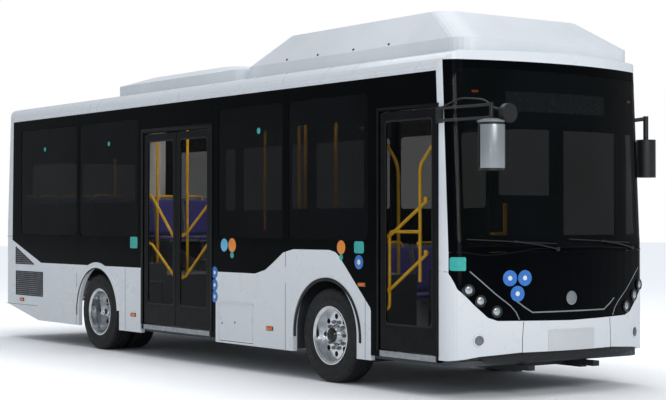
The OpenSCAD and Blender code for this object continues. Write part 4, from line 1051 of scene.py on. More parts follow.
# %% Lay flat cut-outs on the nose
def nose(y, z, out=0.0):
    """The point of the nose's outer surface at this width and height, moved outwards by out."""
    big, small = 3.360 + out, 0.220 + out
    if abs(y) <= 1.102:
        x = 2.210 - 3.360 + math.sqrt(big ** 2 - y ** 2)
    else:
        x = 1.816 + math.sqrt(max(small ** 2 - (abs(y) - 1.03) ** 2, 0))
    return at(x - 0.048 * max(z - 1.345, 0), y, z)

def on_nose(piece, out, depth):
    """Slice a flat piece into strips across the bus, lay it on the nose and give it a thickness."""
    ys = [v.co.y for v in piece.data.vertices]
    y = min(ys) + 0.03
    while y < max(ys):
        edit(piece, "FACE")
        step = 0.012 if abs(y) > 1.08 else 0.05
        bpy.ops.mesh.bisect(plane_co=(0, y, 0), plane_no=(0, 1, 0))
        leave()
        y += step
    for point in piece.data.vertices:
        point.co = nose(point.co.y, point.co.z, out)
    edit(piece, "FACE")
    slide((-depth, 0, 0))
    leave()
    return settle(piece)

def nose_sheet(name, corners, out, depth):
    return on_nose(outline(name, [(0, y, z) for y, z in corners]), out, depth)

def nose_line(name, points, width, out, depth):
    """A strip of even width that follows a broken line of (y, z) points."""
    run = [Vector(p) for p in points]
    above, below = [], []
    for i, p in enumerate(run):
        ahead = (run[min(i + 1, len(run) - 1)] - run[max(i - 1, 0)]).normalized()
        off = Vector((-ahead.y, ahead.x)) * width / 2
        above.append(p + off)
        below.append(p - off)
    return nose_sheet(name, above + below[::-1], out, depth)

print("nose surface ready, middle at", [round(v, 3) for v in nose(0, 1.0)])

# %% [markdown]
# The windscreen is one large laminated pane. Its ceramic print is widest along the top, where it hides
# the sign box, and leaves a clear field for the driver below. A black bead closes the joint to the mask.

# %% Windscreen print and joint
def flat_ring(name, outer, inner, out, depth):
    piece = ring(name, outer, inner, lambda y, z: (0, y, z), (0, 0, 0))
    edit(piece, "FACE")
    bpy.ops.mesh.remove_doubles(threshold=0.0001)
    leave()
    return on_nose(piece, out, depth)

low_z, high_z = 1.404, 3.026
print_ring = flat_ring("windscreen_print", rounded((-1.196, low_z), (1.196, high_z), 0.087, 8),
                       rounded((-1.125, 1.50), (1.125, 2.483), 0.09, 8), -0.0165, 0.002)
hang(print_ring, "body", ceramic)
joint = flat_ring("windscreen_bead", rounded((-1.204, low_z - 0.008), (1.204, high_z + 0.008), 0.095, 8),
                  rounded((-1.197, low_z - 0.001), (1.197, high_z + 0.001), 0.088, 8), 0.0008, 0.006)
hang(joint, "body", sealant)

# %% [markdown]
# ## Sign, cowl and wipers
# The destination sign is an amber matrix behind dark glass. It is blank here, so only its grey-green face
# shows. Two wipers sweep from the cowl: each has a pressed arm, a blade frame and a rubber edge.

# %% Sign and cowl
sign = nose_sheet("destination_sign", rounded((-0.683, 2.648), (0.570, 2.833), 0.012, 3), -0.0140, 0.004)
hang(sign, "body", display)
cowl = nose_line("cowl_edge", [(-1.19, 1.352), (-0.95, 1.318), (-0.75, 1.330), (-0.45, 1.372), (-0.14, 1.388),
                               (0.35, 1.388), (0.80, 1.372), (1.19, 1.352)], 0.010, 0.004, 0.006)
hang(cowl, "body", trim_grey)

def wiper(name, pivot_y, tip_y, tip_z, blade_half):
    base = nose(pivot_y, 1.37, 0.018)
    head = disc("head", (base.x - 0.006, base.y, base.z), 0.022, 0.03, "X", 0.005, 24)
    mid_y, mid_z = (pivot_y + tip_y) / 2, (1.385 + tip_z) / 2
    arm_line = rod("arm", [base + Vector((0.008, 0, 0)), nose(mid_y, mid_z, 0.040), nose(tip_y, tip_z, 0.030)],
                   0.007, 0.03, 3)
    slope = (tip_z - 1.385) / (tip_y - pivot_y)
    ends = [nose(tip_y + k * blade_half, tip_z + k * blade_half * slope * 0.4, 0.022) for k in
            (-1, -0.75, -0.5, -0.25, 0, 0.25, 0.5, 0.75, 1)]
    spine = rod("spine", ends, 0.0055, 0, 3)
    edge = rod("edge", [p + Vector((-0.013, 0, 0)) for p in ends], 0.0045, 0, 2)
    clip = plate("clip", nose(tip_y, tip_z, 0.018) - Vector((0.006, 0.03, 0.009)),
                 nose(tip_y, tip_z, 0.038) + Vector((0.002, 0.03, 0.009)), 0.003)
    hang(joined(name, [head, arm_line, spine, edge, clip]), "body", seal_rubber)

wiper("right_wiper", -0.18, -0.66, 1.442, 0.46)
wiper("left_wiper", 0.95, 0.42, 1.442, 0.46)

# %% [markdown]
# ## Headlamps
# Three round lamps sit on a slanting black field at each side of the nose. Each lamp is a clear cover over
# a bright bowl, in a dark bezel that is screwed on. A thin bright strip runs above the lamp field and
# turns down beside it. One bezel is turned and copied to all six places.

# %% Bezels, domes and bright strips
places = [(1.109, 1.003), (0.999, 0.903), (0.843, 0.803)]

def facing(y, z, out):
    """The matrix that turns a piece made at the origin, facing +X, to face out of the nose at (y, z)."""
    ahead = (nose(y, z, 0.1) - nose(y, z)).normalized()
    side = nose(y + 0.002, z) - nose(y - 0.002, z)
    yaw_here = math.atan2(-side.x, side.y)
    return Matrix.Translation(nose(y, z, out)) @ Matrix.Rotation(yaw_here, 4, "Z")

let_go()
bpy.ops.mesh.primitive_torus_add(major_radius=0.047, minor_radius=0.011, major_segments=48, minor_segments=10,
                                 rotation=(0, math.radians(90), 0))
bezel = bpy.context.object
bezel.name = "bezel"
bpy.ops.object.transform_apply(location=True, rotation=True, scale=True)
bpy.ops.mesh.primitive_uv_sphere_add(segments=32, ring_count=16, radius=0.038, scale=(0.34, 1, 1))
dome = bpy.context.object
dome.name = "dome"
bpy.ops.object.transform_apply(location=True, rotation=True, scale=True)
edit(dome, "FACE", lambda face, normal: math.hypot(face.y, face.z) < 0.018 and face.x > 0)
bpy.ops.mesh.inset(thickness=0.002)
slide((-0.003, 0, 0))
leave()
bezels, domes = [], []
for y, z in places:
    for side in (-1, 1):
        bezels.append(copy_to(bezel, facing(side * y, z, 0.007)))
        domes.append(copy_to(dome, facing(side * y, z, 0.007)))
for spare in (bezel, dome):
    bpy.data.objects.remove(spare)
hang(settle(joined("headlamp_bezels", bezels)), "body", dark_lens)
hang(settle(joined("headlamp_domes", domes)), "body", clear_lens)

strips = []
for side in (-1, 1):
    line = [(1.095, 1.172), (0.851, 0.964), (0.698, 0.852), (0.640, 0.790), (0.607, 0.724)]
    strips.append(nose_line("strip", [(side * y, z) for y, z in line], 0.009, 0.003, 0.005))
strips.append(nose_line("chin", [(-0.630, 0.891), (-0.560, 0.842), (-0.465, 0.787), (0.465, 0.787),
                                 (0.560, 0.842), (0.630, 0.891)], 0.012, 0.004, 0.006))
hang(joined("nose_strips", strips), "body", chrome)

# %% [markdown]
# A plain round boss stands where a maker would put a badge, and the number plate is a blank sheet in a
# shallow holder. Both are set on the nose like everything else here.

# %% Boss, plate and holder
boss = disc("nose_boss", (0, 0, 0), 0.066, 0.012, "X", 0.004, 48)
edit(boss, "FACE", lambda face, normal: normal.x > 0.95 and face.x > 0.004)
bpy.ops.mesh.inset(thickness=0.014)
slide((-0.004, 0, 0))
leave()
boss.data.transform(facing(0, 0.91, 0.005))
hang(settle(boss), "body", chrome)

holder = nose_sheet("plate_holder", rounded((-0.285, 0.428), (0.315, 0.620), 0.015, 3), 0.005, 0.007)
hang(holder, "body", plate_metal)
blank = nose_sheet("number_plate", rounded((-0.255, 0.448), (0.285, 0.600), 0.010, 3), 0.0075, 0.003)
hang(blank, "body", plate_metal)

# %% [markdown]
# ## Bumper details
# The bumper is three mouldings, so two fine joints cross it. A fog lamp sits in a round pocket at each end,
# and a black rubber valance closes the gap to the road.

# %% Joints, fog lamps and valance
joints = [nose_line("joint", [(s * 0.575, 0.40), (s * 0.572, 0.55), (s * 0.560, 0.705)], 0.005, 0.0012, 0.004)
          for s in (-1, 1)]
hang(joined("bumper_joints", joints), "body", sealant)
fogs, pockets = [], []
for side in (-1, 1):
    y, z = side * 1.01, 0.541
    turn = facing(y, z, 0.002)
    let_go()
    bpy.ops.mesh.primitive_torus_add(major_radius=0.052, minor_radius=0.009, major_segments=40,
                                     minor_segments=8, rotation=(0, math.radians(90), 0))
    pocket = bpy.context.object
    pocket.data.transform(turn @ Matrix.Rotation(math.radians(90), 4, "Y"))
    pocket.rotation_euler = (0, 0, 0)
    pockets.append(pocket)
    fog = disc("fog", (0, 0, 0), 0.046, 0.012, "X", 0.003, 36)
    edit(fog, "FACE", lambda face, normal: normal.x > 0.95 and face.x > 0.004)
    bpy.ops.mesh.inset(thickness=0.016)
    slide((0.005, 0, 0))
    leave()
    fog.data.transform(turn)
    fogs.append(settle(fog))
hang(settle(joined("fog_lamp_pockets", pockets)), "body", white)
hang(joined("fog_lamps", fogs), "body", casting)

valance = nose_sheet("front_valance", [(-0.98, 0.385), (-0.93, 0.345), (-0.62, 0.335), (0.62, 0.335),
                                       (0.93, 0.345), (0.98, 0.385), (0.40, 0.43), (-0.40, 0.43)],
                     -0.052, 0.012)
hang(valance, "body", seal_rubber)

# %% [markdown]
# Small clearance lamps glow at the top corners of the windscreen, and the same vinyl films as on the side
# mark the boarding side of the nose.

# %% Clearance lamps and films
for name, y, z in (("right", -0.986, 2.824), ("left", 1.042, 2.815)):
    hang(nose_sheet(f"{name}_clearance_lamp", rounded((y - 0.032, z - 0.011), (y + 0.032, z + 0.011), 0.008, 3),
                    -0.0135, 0.002), "body", amber)
hang(nose_sheet("corner_film", rounded((-1.232, 1.178), (-1.128, 1.302), 0.012, 3), 0.0014, 0.002), "body",
     film_teal)
for i, (y, z) in enumerate(((-0.702, 1.106), (-0.545, 1.106), (-0.624, 0.962))):
    hang(nose_sheet(f"nose_film_{i}", arc((y, z), 0.073, 0, 350, 35), 0.0014, 0.002), "body", film_blue)
    hang(nose_sheet(f"nose_dot_{i}", arc((y, z), 0.022, 0, 340, 17), 0.0024, 0.002), "body", film_white)
corner_lines = [nose_line("line", [(side * 1.249, 1.168), (side * 1.236, 1.166)], 0.004, 0.001, 0.004)
                for side in (-1, 1)]
hang(joined("corner_joints", corner_lines), "body", sealant)
print("nose dressed")

# %% [markdown]
# ## Mirrors
# The long mirror by the door hangs from a double arm so that the driver sees past it. Its housing has a
# bright moulded cover in front and a curved glass behind. Both are arcs in plan with a thickness, so each
# is drawn as an outline from above and pulled upwards.

# %% Covers and glasses of the hanging mirrors
def shell(name, centre, r_in, r_out, start, end, z0, z1, steps=28):
    outer = arc(centre, r_out, start, end, steps)
    inner = arc(centre, r_in, start, end, steps)
    piece = outline(name, [at(x, y, z0) for x, y in outer + inner[::-1]], (0, 0, z1 - z0))
    edit(piece, "EDGE", lambda a, b: abs(a.z - b.z) < 1e-4)
    bpy.ops.mesh.bevel(offset=0.0015, segments=2)
    leave()
    return settle(piece)

head, left_head = (2.610, -1.348), (1.8903, 1.362)
cover = shell("right_mirror_cover", head, 0.1125, 0.119, -95, 95, 2.09, 2.47)
hang(cover, "body", chrome)
cap = spun("cap", [(0.001, 0.0), (0.119, 0.0), (0.126, 0.006), (0.122, 0.016), (0.060, 0.034), (0.001, 0.036)],
           Vector((0, 0, 0)), 40, 1)
cap.data.transform(Matrix.Translation(at(head[0], head[1], 2.49)) @ Matrix.Rotation(math.radians(90), 4, "X"))
hang(settle(cap), "body", chrome)
cap.name = "right_mirror_cap"
for name, centre, r, z0, z1 in (("right_mirror_glass", head, 0.1125, 2.10, 2.46),
                                ("left_mirror_glass", left_head, 0.0985, 2.09, 2.43)):
    hang(shell(name, centre, r, r + 0.004, 118, 242, z0, z1), "body", silvered)
    rim_band = shell("rim", centre, r - 0.0005, r + 0.007, 110, 118, z0, z1, 4)
    rim_other = shell("rim", centre, r - 0.0005, r + 0.007, 242, 250, z0, z1, 4)
    hang(joined(name + "_rim", [rim_band, rim_other]), "body", mirror_shell)

# %% [markdown]
# The small round mirror at the tip of the arm looks down at the kerb, and a bent tube braces the arm.

# %% Kerb mirror and brace
spot = at(2.69 - 0.003, -1.245, 2.57)
hang(disc("kerb_mirror_glass", spot, 0.074, 0.006, "X", 0.002, 40), "body", silvered)
let_go()
bpy.ops.mesh.primitive_torus_add(major_radius=0.080, minor_radius=0.006, major_segments=44, minor_segments=8,
                                 location=spot, rotation=(0, math.radians(90), 0))
hoop = settle(bpy.context.object)
hoop.name = "kerb_mirror_rim"
hang(hoop, "body", mirror_shell)
brace = rod("mirror_arm_brace", [at(1.86, -1.300, 2.661), at(2.16, -1.322, 2.735), at(2.50, -1.342, 2.700),
                                 at(2.585, -1.347, 2.655)], 0.008, 0.10, 3)
hang(brace, "body", mirror_shell)

# %% [markdown]
# ## The back of the bus
# Lamps at the back are stacked in a column at each side, with a pair of red lamps high up. The back wall
# leans and is rounded, so each piece asks the frame where the wall is: a ray is sent forwards at its width
# and height, and the piece is set where the ray lands.

# %% A way to set pieces on the back wall
def tail(y, z, out=0.0):
    best = None
    for name in ("rear_wall", "rear_lid"):
        hit, where, _, _ = nodes[name].ray_cast(Vector((tail_x - 1, y, z)), Vector((1, 0, 0)))
        if hit and (best is None or where.x < best):
            best = where.x
    if best is None:
        best = tail_x + 0.03
    return Vector((best - out, y, z))

def tail_lean(y, z):
    """A matrix that sets a piece made at the origin, facing -X, on the wall."""
    up = tail(y, z + 0.03) - tail(y, z - 0.03)
    side = tail(y + 0.03, z) - tail(y - 0.03, z)
    pitch_here, yaw_here = math.atan2(up.x, up.z), math.atan2(-side.x, side.y)
    return (Matrix.Translation(tail(y, z)) @ Matrix.Rotation(yaw_here, 4, "Z")
            @ Matrix.Rotation(pitch_here, 4, "Y"))

let_go()
round_lens = disc("round_lens", (-0.006, 0, 0), 0.047, 0.018, "X", 0.005, 36)
edit(round_lens, "FACE", lambda face, normal: normal.x < -0.95 and face.x < -0.012)
bpy.ops.mesh.inset(thickness=0.012)
slide((-0.004, 0, 0))
bpy.ops.mesh.inset(thickness=0.012)
slide((0.003, 0, 0))
leave()
let_go()
bpy.ops.mesh.primitive_torus_add(major_radius=0.052, minor_radius=0.006, major_segments=40, minor_segments=8,
                                 rotation=(0, math.radians(90), 0))
seat_ring = settle(bpy.context.object)
stacks = {"amber": (amber, [1.26]), "red": (red, [1.13, 1.00]), "white": (clear_lens, [0.87])}
rings = []
for name, (lens, heights) in stacks.items():
    made = []
    for z in heights:
        for side in (-1, 1):
            made.append(copy_to(round_lens, tail_lean(side * 1.03, z)))
            rings.append(copy_to(seat_ring, tail_lean(side * 1.03, z)))
    hang(settle(joined(f"rear_{name}_lamps", made)), "body", lens)
hang(settle(joined("rear_lamp_rings", rings)), "body", seal_rubber)
for spare in (round_lens, seat_ring):
    bpy.data.objects.remove(spare)

def tail_plate(name, y0, z0, y1, z1, thick, r, material, body="body"):
    """A flat rounded plate that stands on the wall at its middle."""
    y, z = (y0 + y1) / 2, (z0 + z1) / 2
    half_y, half_z = (y1 - y0) / 2, (z1 - z0) / 2
    piece = outline(name, [(0.004, a, b) for a, b in rounded((-half_y, -half_z), (half_y, half_z), r, 4)],
                    (-thick - 0.004, 0, 0))
    edit(piece, "EDGE", lambda a, b: max(a.x, b.x) < -thick + 0.0005)
    bpy.ops.mesh.bevel(offset=min(0.002, thick * 0.4), segments=2)
    leave()
    piece.data.transform(tail_lean(y, z))
    return hang(settle(piece), body, material)

tail_plate("rear_number_plate", -0.26, 0.60, 0.26, 0.71, 0.006, 0.010, plate_metal, "lid")
tail_plate("rear_sign", -0.30, 2.70, 0.30, 2.84, 0.008, 0.012, display)
for side in (-1, 1):
    tail_plate(f"rear_reflector_{'right' if side < 0 else 'left'}", side * 1.0 - 0.06, 0.70, side * 1.0 + 0.06,
               0.735, 0.007, 0.008, red)
    tail_plate(f"rear_top_lamp_{'right' if side < 0 else 'left'}", side * 0.92 - 0.05, 2.93, side * 0.92 + 0.05,
               2.96, 0.010, 0.008, red)

# %% [markdown]
# The engine-room lid has a louvred air outlet, two quarter-turn locks and a recessed handle. The rear
# window has its own ceramic print, like the side panes.

# %% Lid grille, locks and the rear window
slats = []
for i in range(9):
    z = 1.00 + i * 0.036
    slat = plate("slat", (-0.002, -0.52, -0.013), (0.002, 0.52, 0.013), 0.0012, 1)
    slat.data.transform(Matrix.Translation(tail(0, z, 0.006)) @ Matrix.Rotation(math.radians(-35), 4, "Y"))
    slats.append(slat)
for y in (-0.53, 0.53):
    slats.append(plate("side", tail(0, 0.985, 0.014) + Vector((0, y - 0.012, -0.01)),
                       tail(0, 0.985, -0.001) + Vector((0, y + 0.012, 0.335)), 0.002, 1))
hang(settle(joined("rear_lid_grille", slats)), "lid", trim_grey)
for i, y in enumerate((-0.70, 0.70)):
    hang(disc(f"rear_lid_lock_{i}", tail(y, 0.66, 0.002), 0.016, 0.010, "X", 0.003, 28), "lid", dark_lens)
grip = rod("rear_lid_handle", [tail(-0.09, 0.80, -0.002), tail(-0.09, 0.80, 0.030), tail(0.09, 0.80, 0.030),
                               tail(0.09, 0.80, -0.002)], 0.008, 0.015, 4)
hang(grip, "lid", steel)

rear_print = ring("rear_window_print", rounded((-0.995, 1.645), (0.995, 2.595), 0.075, 6),
                  rounded((-0.86, 1.76), (0.86, 2.47), 0.06, 6), lambda y, z: (0, y, z), (0, 0, 0))
edit(rear_print, "FACE")
bpy.ops.mesh.remove_doubles(threshold=0.0001)
leave()

def pane_back(y, z):
    hit, where, _, _ = nodes["window_glass"].ray_cast(Vector((tail_x + 1.2, y, z)), Vector((-1, 0, 0)))
    return where.x if hit else tail(y, z).x + 0.02

for y in [i * 0.1 for i in range(-9, 10)]:
    edit(rear_print, "FACE")
    bpy.ops.mesh.bisect(plane_co=(0, y, 0), plane_no=(0, 1, 0))
    leave()
for point in rear_print.data.vertices:
    point.co.x = pane_back(point.co.y * 0.995, 2.12 + (point.co.z - 2.12) * 0.99) + 0.0015
edit(rear_print, "FACE")
slide((0.002, 0, 0))
leave()
hang(settle(rear_print), "body", ceramic)

# %% [markdown]
# ## Roof
# Rain is kept off the doors by a gutter that runs along each edge of the roof. The roof covers are joined
# by flat straps with bolts, and a hatch behind them opens for air and serves as an emergency exit.

# %% Gutters, cover straps, bolts and hatch
def roof_z(x, y, default=3.2):
    low = default
    for name in ("roof", "roof_pods"):
        hit, where, _, _ = nodes[name].ray_cast(Vector((front_x + x, y, 5)), Vector((0, 0, -1)))
        if hit and where.z > low:
            low = where.z
    return low

gutters = []
for side in (-1, 1):
    y = side * (side_y - 0.002)
    gutters.append(rod("gutter", [at(-7.60, y, 3.052), at(1.72, y, 3.052)], 0.007, 0, 3))
hang(joined("roof_gutters", gutters), "body", white)

def over(name, x, half_y, width, steps=14, lift=0.003):
    """A strap that lies across a roof cover and follows its top."""
    pts = [(half_y * (2 * i / steps - 1)) for i in range(steps + 1)]
    tops = [at(x, y, roof_z(x, y) + lift) for y in pts]
    piece = outline(name, [p + Vector((-width / 2, 0, 0)) for p in tops]
                    + [p + Vector((width / 2, 0, 0)) for p in tops[::-1]], (0, 0, -0.006))
    return piece

straps = [over("strap", x, y, 0.03) for x, y in ((-4.20, 0.88), (-2.95, 0.88), (-1.20, 0.90), (0.10, 0.90),
                                                 (1.25, 0.90))]
hang(settle(joined("roof_cover_straps", straps)), "body", pod_paint)
bolts = []
for x in (-0.94, -0.37, 0.25, 0.83):
    for side in (-1, 1):
        hit, where, normal, _ = nodes["roof_pods"].ray_cast(Vector((front_x + x, side * 3, 3.35)),
                                                            Vector((0, -side, 0)))
        if hit:
            bolts.append(disc("bolt", where, 0.014, 0.010, "Y", 0.003, 20))
hang(joined("roof_cover_bolts", bolts), "body", dark_lens)
hatch_x = -6.20
hatch = plate("roof_hatch", at(hatch_x - 0.36, -0.30, roof_z(hatch_x, 0.30) - 0.02),
              at(hatch_x + 0.36, 0.30, roof_z(hatch_x, 0) + 0.05), 0.02, 3)
edit(hatch, "FACE", lambda face, normal: normal.z > 0.95)
bpy.ops.mesh.inset(thickness=0.05)
slide((0, 0, 0.012))
leave()
hang(settle(hatch), "body", pod_paint)
stalk = rod("roof_aerial", [at(-5.35, 0, roof_z(-5.35, 0) - 0.005), at(-5.35, 0, roof_z(-5.35, 0) + 0.02),
                            at(-5.42, 0, roof_z(-5.35, 0) + 0.13)], 0.006, 0.01, 3)
foot = disc("foot", at(-5.35, 0, roof_z(-5.35, 0) + 0.008), 0.035, 0.022, "Z", 0.006, 28)
hang(joined("roof_aerial", [stalk, foot]), "body", mirror_shell)

# %% [markdown]
# ## Left side
# The left side has no doors. Low hatches give the workshop access to the air tanks, the fuses and the
# cooling unit. Each hatch shows only a fine joint and two locks, which are the same part as on the flap.

# %% Hatches on the left side
hatches, locks = [], []
for x0, x1, z0, z1 in ((-7.45, -6.55, 0.36, 0.56), (-4.10, -3.20, 0.36, 0.98), (-3.0, -2.1, 0.36, 0.98),
                       (0.95, 1.55, 0.42, 0.95)):
    for a, b, c, d in ((x0, z0, x1, z0), (x1, z0, x1, z1), (x1, z1, x0, z1), (x0, z1, x0, z0)):
        hatches.append(seam("joint", a, b, c, d, 1))
    for x in (x0 + 0.12, x1 - 0.12):
        locks.append(disc("lock", at(x, side_y + 0.001, z1 - 0.07), 0.012, 0.007, "Y", 0.002, 24))
hang(joined("left_hatch_joints", hatches), "body", sealant)
hang(joined("left_hatch_locks", locks), "body", dark_lens)
print("mirrors, back, roof and left side dressed")

# %% [markdown]
# ## Seat cushions
# Each seat is a plastic shell with two upholstered pads. A pad is foam in a sewn cover: the middle swells,
# the sides pull in between the corners, and the underside is flat where it rests on its shell. Air
# pressure inside a cloth skin gives the same shape, so one cushion and one back pad are inflated for
# twenty frames, their points are kept from moving too far, and the result is applied.

# %% Inflate one cushion and one back pad
def inflate(piece, cap_move):
    take(piece)
    piece.data.remesh_voxel_size = 0.012
    bpy.ops.object.voxel_remesh()
    start = [point.co.copy() for point in piece.data.vertices]
    scene = bpy.context.scene
    scene.frame_start, scene.frame_end = 1, 20
    cloth = piece.modifiers.new("Air", "CLOTH")
    cloth.settings.use_pressure = True
    cloth.settings.uniform_pressure_force = 4
    cloth.settings.effector_weights.gravity = 0
    cloth.point_cache.frame_start, cloth.point_cache.frame_end = 1, 20
    for frame_number in range(1, 21):
        scene.frame_set(frame_number)
    take(piece)
    bpy.ops.object.modifier_apply(modifier=cloth.name)
    scene.frame_set(1)
    for point, first in zip(piece.data.vertices, start):
        moved = point.co - first
        if moved.length > cap_move:
            point.co = first + moved.normalized() * cap_move
    return piece

def pad(name, size, cap_move, channels):
    """A pad centred on the origin, lying flat; channels are the places of sewn lines across it."""
    x, y, z = size[0] / 2 - cap_move, size[1] / 2 - cap_move, size[2] / 2 - cap_move * 0.45
    piece = plate(name, (-x, -y, -z), (x, y, z), min(z * 0.8, 0.014), 3)
    inflate(piece, cap_move)
    for point in piece.data.vertices:
        for channel in channels:
            near = max(0, 1 - abs(point.co.x - channel) / 0.010)
            if point.co.z > 0:
                point.co.z -= 0.005 * near
        point.co.z = max(point.co.z, -size[2] / 2 + 0.001)
        point.co.z = min(point.co.z, size[2] / 2 + 0.004)
        point.co.x = max(-size[0] / 2, min(size[0] / 2, point.co.x))
        point.co.y = max(-size[1] / 2, min(size[1] / 2, point.co.y))
    return settle(piece)

cushion = pad("cushion", (0.385, 0.41, 0.045), 0.009, (-0.07, 0.07))
back = pad("back", (0.515, 0.41, 0.040), 0.009, (-0.10, 0.08))
print("cushion", len(cushion.data.polygons), "faces, back pad", len(back.data.polygons))

# %% [markdown]
# The frame already says where every pad goes. A copy of its plain pads is welded and taken apart into
# single blocks, and each block's box gives one seat's place and width. The inflated pads are copied there.

# %% Copy the pads to every seat
take(nodes["seat_pads"])
bpy.ops.object.duplicate()
blocks = bpy.context.view_layer.objects.active
blocks.parent = None
for key in [k for k in blocks.keys() if k.startswith("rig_")]:
    del blocks[key]
edit(blocks, "FACE")
bpy.ops.mesh.remove_doubles(threshold=0.0001)
bpy.ops.mesh.separate(type="LOOSE")
leave()
single = [o for o in bpy.context.selected_objects if o.type == "MESH"]
spots = []
for block in single:
    points = [v.co for v in block.data.vertices]
    low = Vector([min(p[i] for p in points) for i in range(3)])
    high = Vector([max(p[i] for p in points) for i in range(3)])
    spots.append((low, high))
for block in single:
    bpy.data.objects.remove(block)
spots.sort(key=lambda s: (round(s[0].x, 3), round(s[0].y, 3), s[0].z))
cushions, backs = [], []
for low, high in spots:
    centre, wide = (low + high) / 2, (high.y - low.y) / 0.41
    lying = (high.z - low.z) < 0.2
    turn = Matrix.Identity(4) if lying else Matrix.Rotation(math.radians(90 - 8), 4, "Y")
    place = Matrix.Translation(centre) @ turn @ Matrix.Scale(wide, 4, (0, 1, 0))
    if not lying:
        place = place @ Matrix.Scale(-1, 4, (1, 0, 0)) @ Matrix.Rotation(math.pi, 4, "Z")
    (cushions if lying else backs).append(copy_to(cushion if lying else back, place))
for spare in (cushion, back):
    bpy.data.objects.remove(spare)
seat_cushions = hang(settle(joined("seat_cushions", cushions)), "body", fabric, ["seat_pads"])
seat_backs = hang(settle(joined("seat_back_pads", backs)), "body", fabric, ["seat_pads"])
print(len(spots) // 2, "seats upholstered")

# %% [markdown]
# ## Closing panels in front of the rear wheels
# The riser of the raised floor ends at the wheel houses. A panel on each side carries it on to the wall, so
# that nobody's foot gets near a tyre. It is a pressed sheet, with a shallow field that keeps it from drumming.

# %% Panels beside the riser
panels = []
for side in (-1, 1):
    inner_face = min(abs(corner.y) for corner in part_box("rear_right_tyres")) - 0.024
    wall_face = side_y - 0.051
    x = rear_x - front_x
    y0, y1 = sorted((side * inner_face, side * wall_face))
    panel = plate("riser_panel", at(x + 0.594, y0, 0.305), at(x + 0.622, y1, 0.906), 0.004, 2)
    edit(panel, "FACE", lambda face, normal: normal.x > 0.95)
    bpy.ops.mesh.inset(thickness=0.05)
    slide((-0.006, 0, 0))
    leave()
    panels.append(settle(panel))
hang(joined("riser_panels", panels), "body", vinyl)

# %% [markdown]
# ## Saloon fittings
# A handle on top of each seat back helps standing passengers. Stop buttons sit on the poles, and two rows
# of lights run along the ceiling, each a frosted cover over a strip of diodes that is lit by day as well.

# %% Seat handles, stop buttons and lights
grips, tops = [], [s for s in spots if s[1].z - s[0].z >= 0.2]
for low, high in tops:
    y = (low.y + high.y) / 2
    x, z = low.x - 0.012, high.z - 0.02
    grips.append(rod("grip", [(x + 0.012, y - 0.12, z - 0.02), (x, y - 0.12, z + 0.055),
                              (x, y + 0.12, z + 0.055), (x + 0.012, y + 0.12, z - 0.02)], 0.011, 0.03, 3))
hang(joined("seat_grips", grips), "body", yellow)

buttons = []
for x, y in ((-3.40, 0.23), (-2.65, 0.23), (-1.90, 0.23), (-1.30, 0.23), (0.30, 0.23), (-1.85, -0.23),
             (-1.25, -0.23)):
    box_piece = plate("box", at(x - 0.028, y - 0.026, 1.42), at(x + 0.028, y + 0.026, 1.53), 0.008, 2)
    for side in (-1, 1):
        edit(box_piece, "FACE", lambda face, normal: normal.y * side > 0.95)
        bpy.ops.mesh.inset(thickness=0.010)
        slide((0, side * 0.004, 0))
        leave()
    buttons.append(settle(box_piece))
hang(joined("stop_buttons", buttons), "body", red)

bars = [plate("bar", at(x, y - 0.06, 3.095), at(x + 0.92, y + 0.06, 3.125), 0.010, 2)
        for x in (-7.1, -6.1, -5.1, -4.1, -3.1, -2.1, -1.1, -0.1) for y in (-0.62, 0.62)]
hang(joined("ceiling_lights", bars), "body", light_bar)

# %% [markdown]
# ## Driver's place
# The driver reads speed and charge from a screen in a hooded binnacle, and reaches a row of rocker
# switches beside it. Two pedals hang over the floor, and a fare reader faces the passenger at the door.

# %% Binnacle, switches, pedals and fare reader
hood = plate("binnacle", at(1.66, 0.42, 1.115), at(1.86, 0.86, 1.24), 0.02, 3)
edit(hood, "FACE", lambda face, normal: normal.x < -0.95)
bpy.ops.mesh.inset(thickness=0.018)
slide((0.015, 0, 0))
leave()
hang(settle(hood), "body", dash)
screen = plate("dash_screen", at(1.672, 0.46, 1.14), at(1.678, 0.82, 1.215), 0.001, 1)
hang(screen, "body", display)
rockers = []
for i in range(8):
    y = 0.20 + i * 0.026 if i < 4 else 0.92 + (i - 4) * 0.045
    rockers.append(plate("rocker", at(1.63, y, 1.112), at(1.665, y + 0.02, 1.130), 0.003, 2))
hang(joined("rocker_switches", rockers), "body", mirror_shell)
pedals = []
for y in (0.52, 0.74):
    pedal = plate("pedal", (-0.006, -0.045, -0.075), (0.006, 0.045, 0.075), 0.004, 2)
    pedal.data.transform(Matrix.Translation(at(1.66, y, 0.52)) @ Matrix.Rotation(math.radians(35), 4, "Y"))
    stem = rod("stem", [at(1.67, y, 0.50), at(1.78, y, 0.40), at(1.80, y, 0.345)], 0.008, 0.03, 3)
    pedals += [pedal, stem]
hang(settle(joined("pedals", pedals)), "body", seal_rubber)
reader = plate("fare_reader", at(1.02, 0.03, 1.30), at(1.10, 0.16, 1.52), 0.015, 3)
edit(reader, "FACE", lambda face, normal: normal.y < -0.95)
bpy.ops.mesh.inset(thickness=0.015)
slide((0, 0.006, 0))
leave()
stand = rod("stand", [at(1.06, 0.10, 0.349), at(1.06, 0.10, 1.32)], 0.017, 0, 4)
base = disc("base", at(1.06, 0.10, 0.356), 0.05, 0.012, "Z", 0.003, 28)
hang(settle(joined("fare_reader", [reader, stand, base])), "body", yellow)

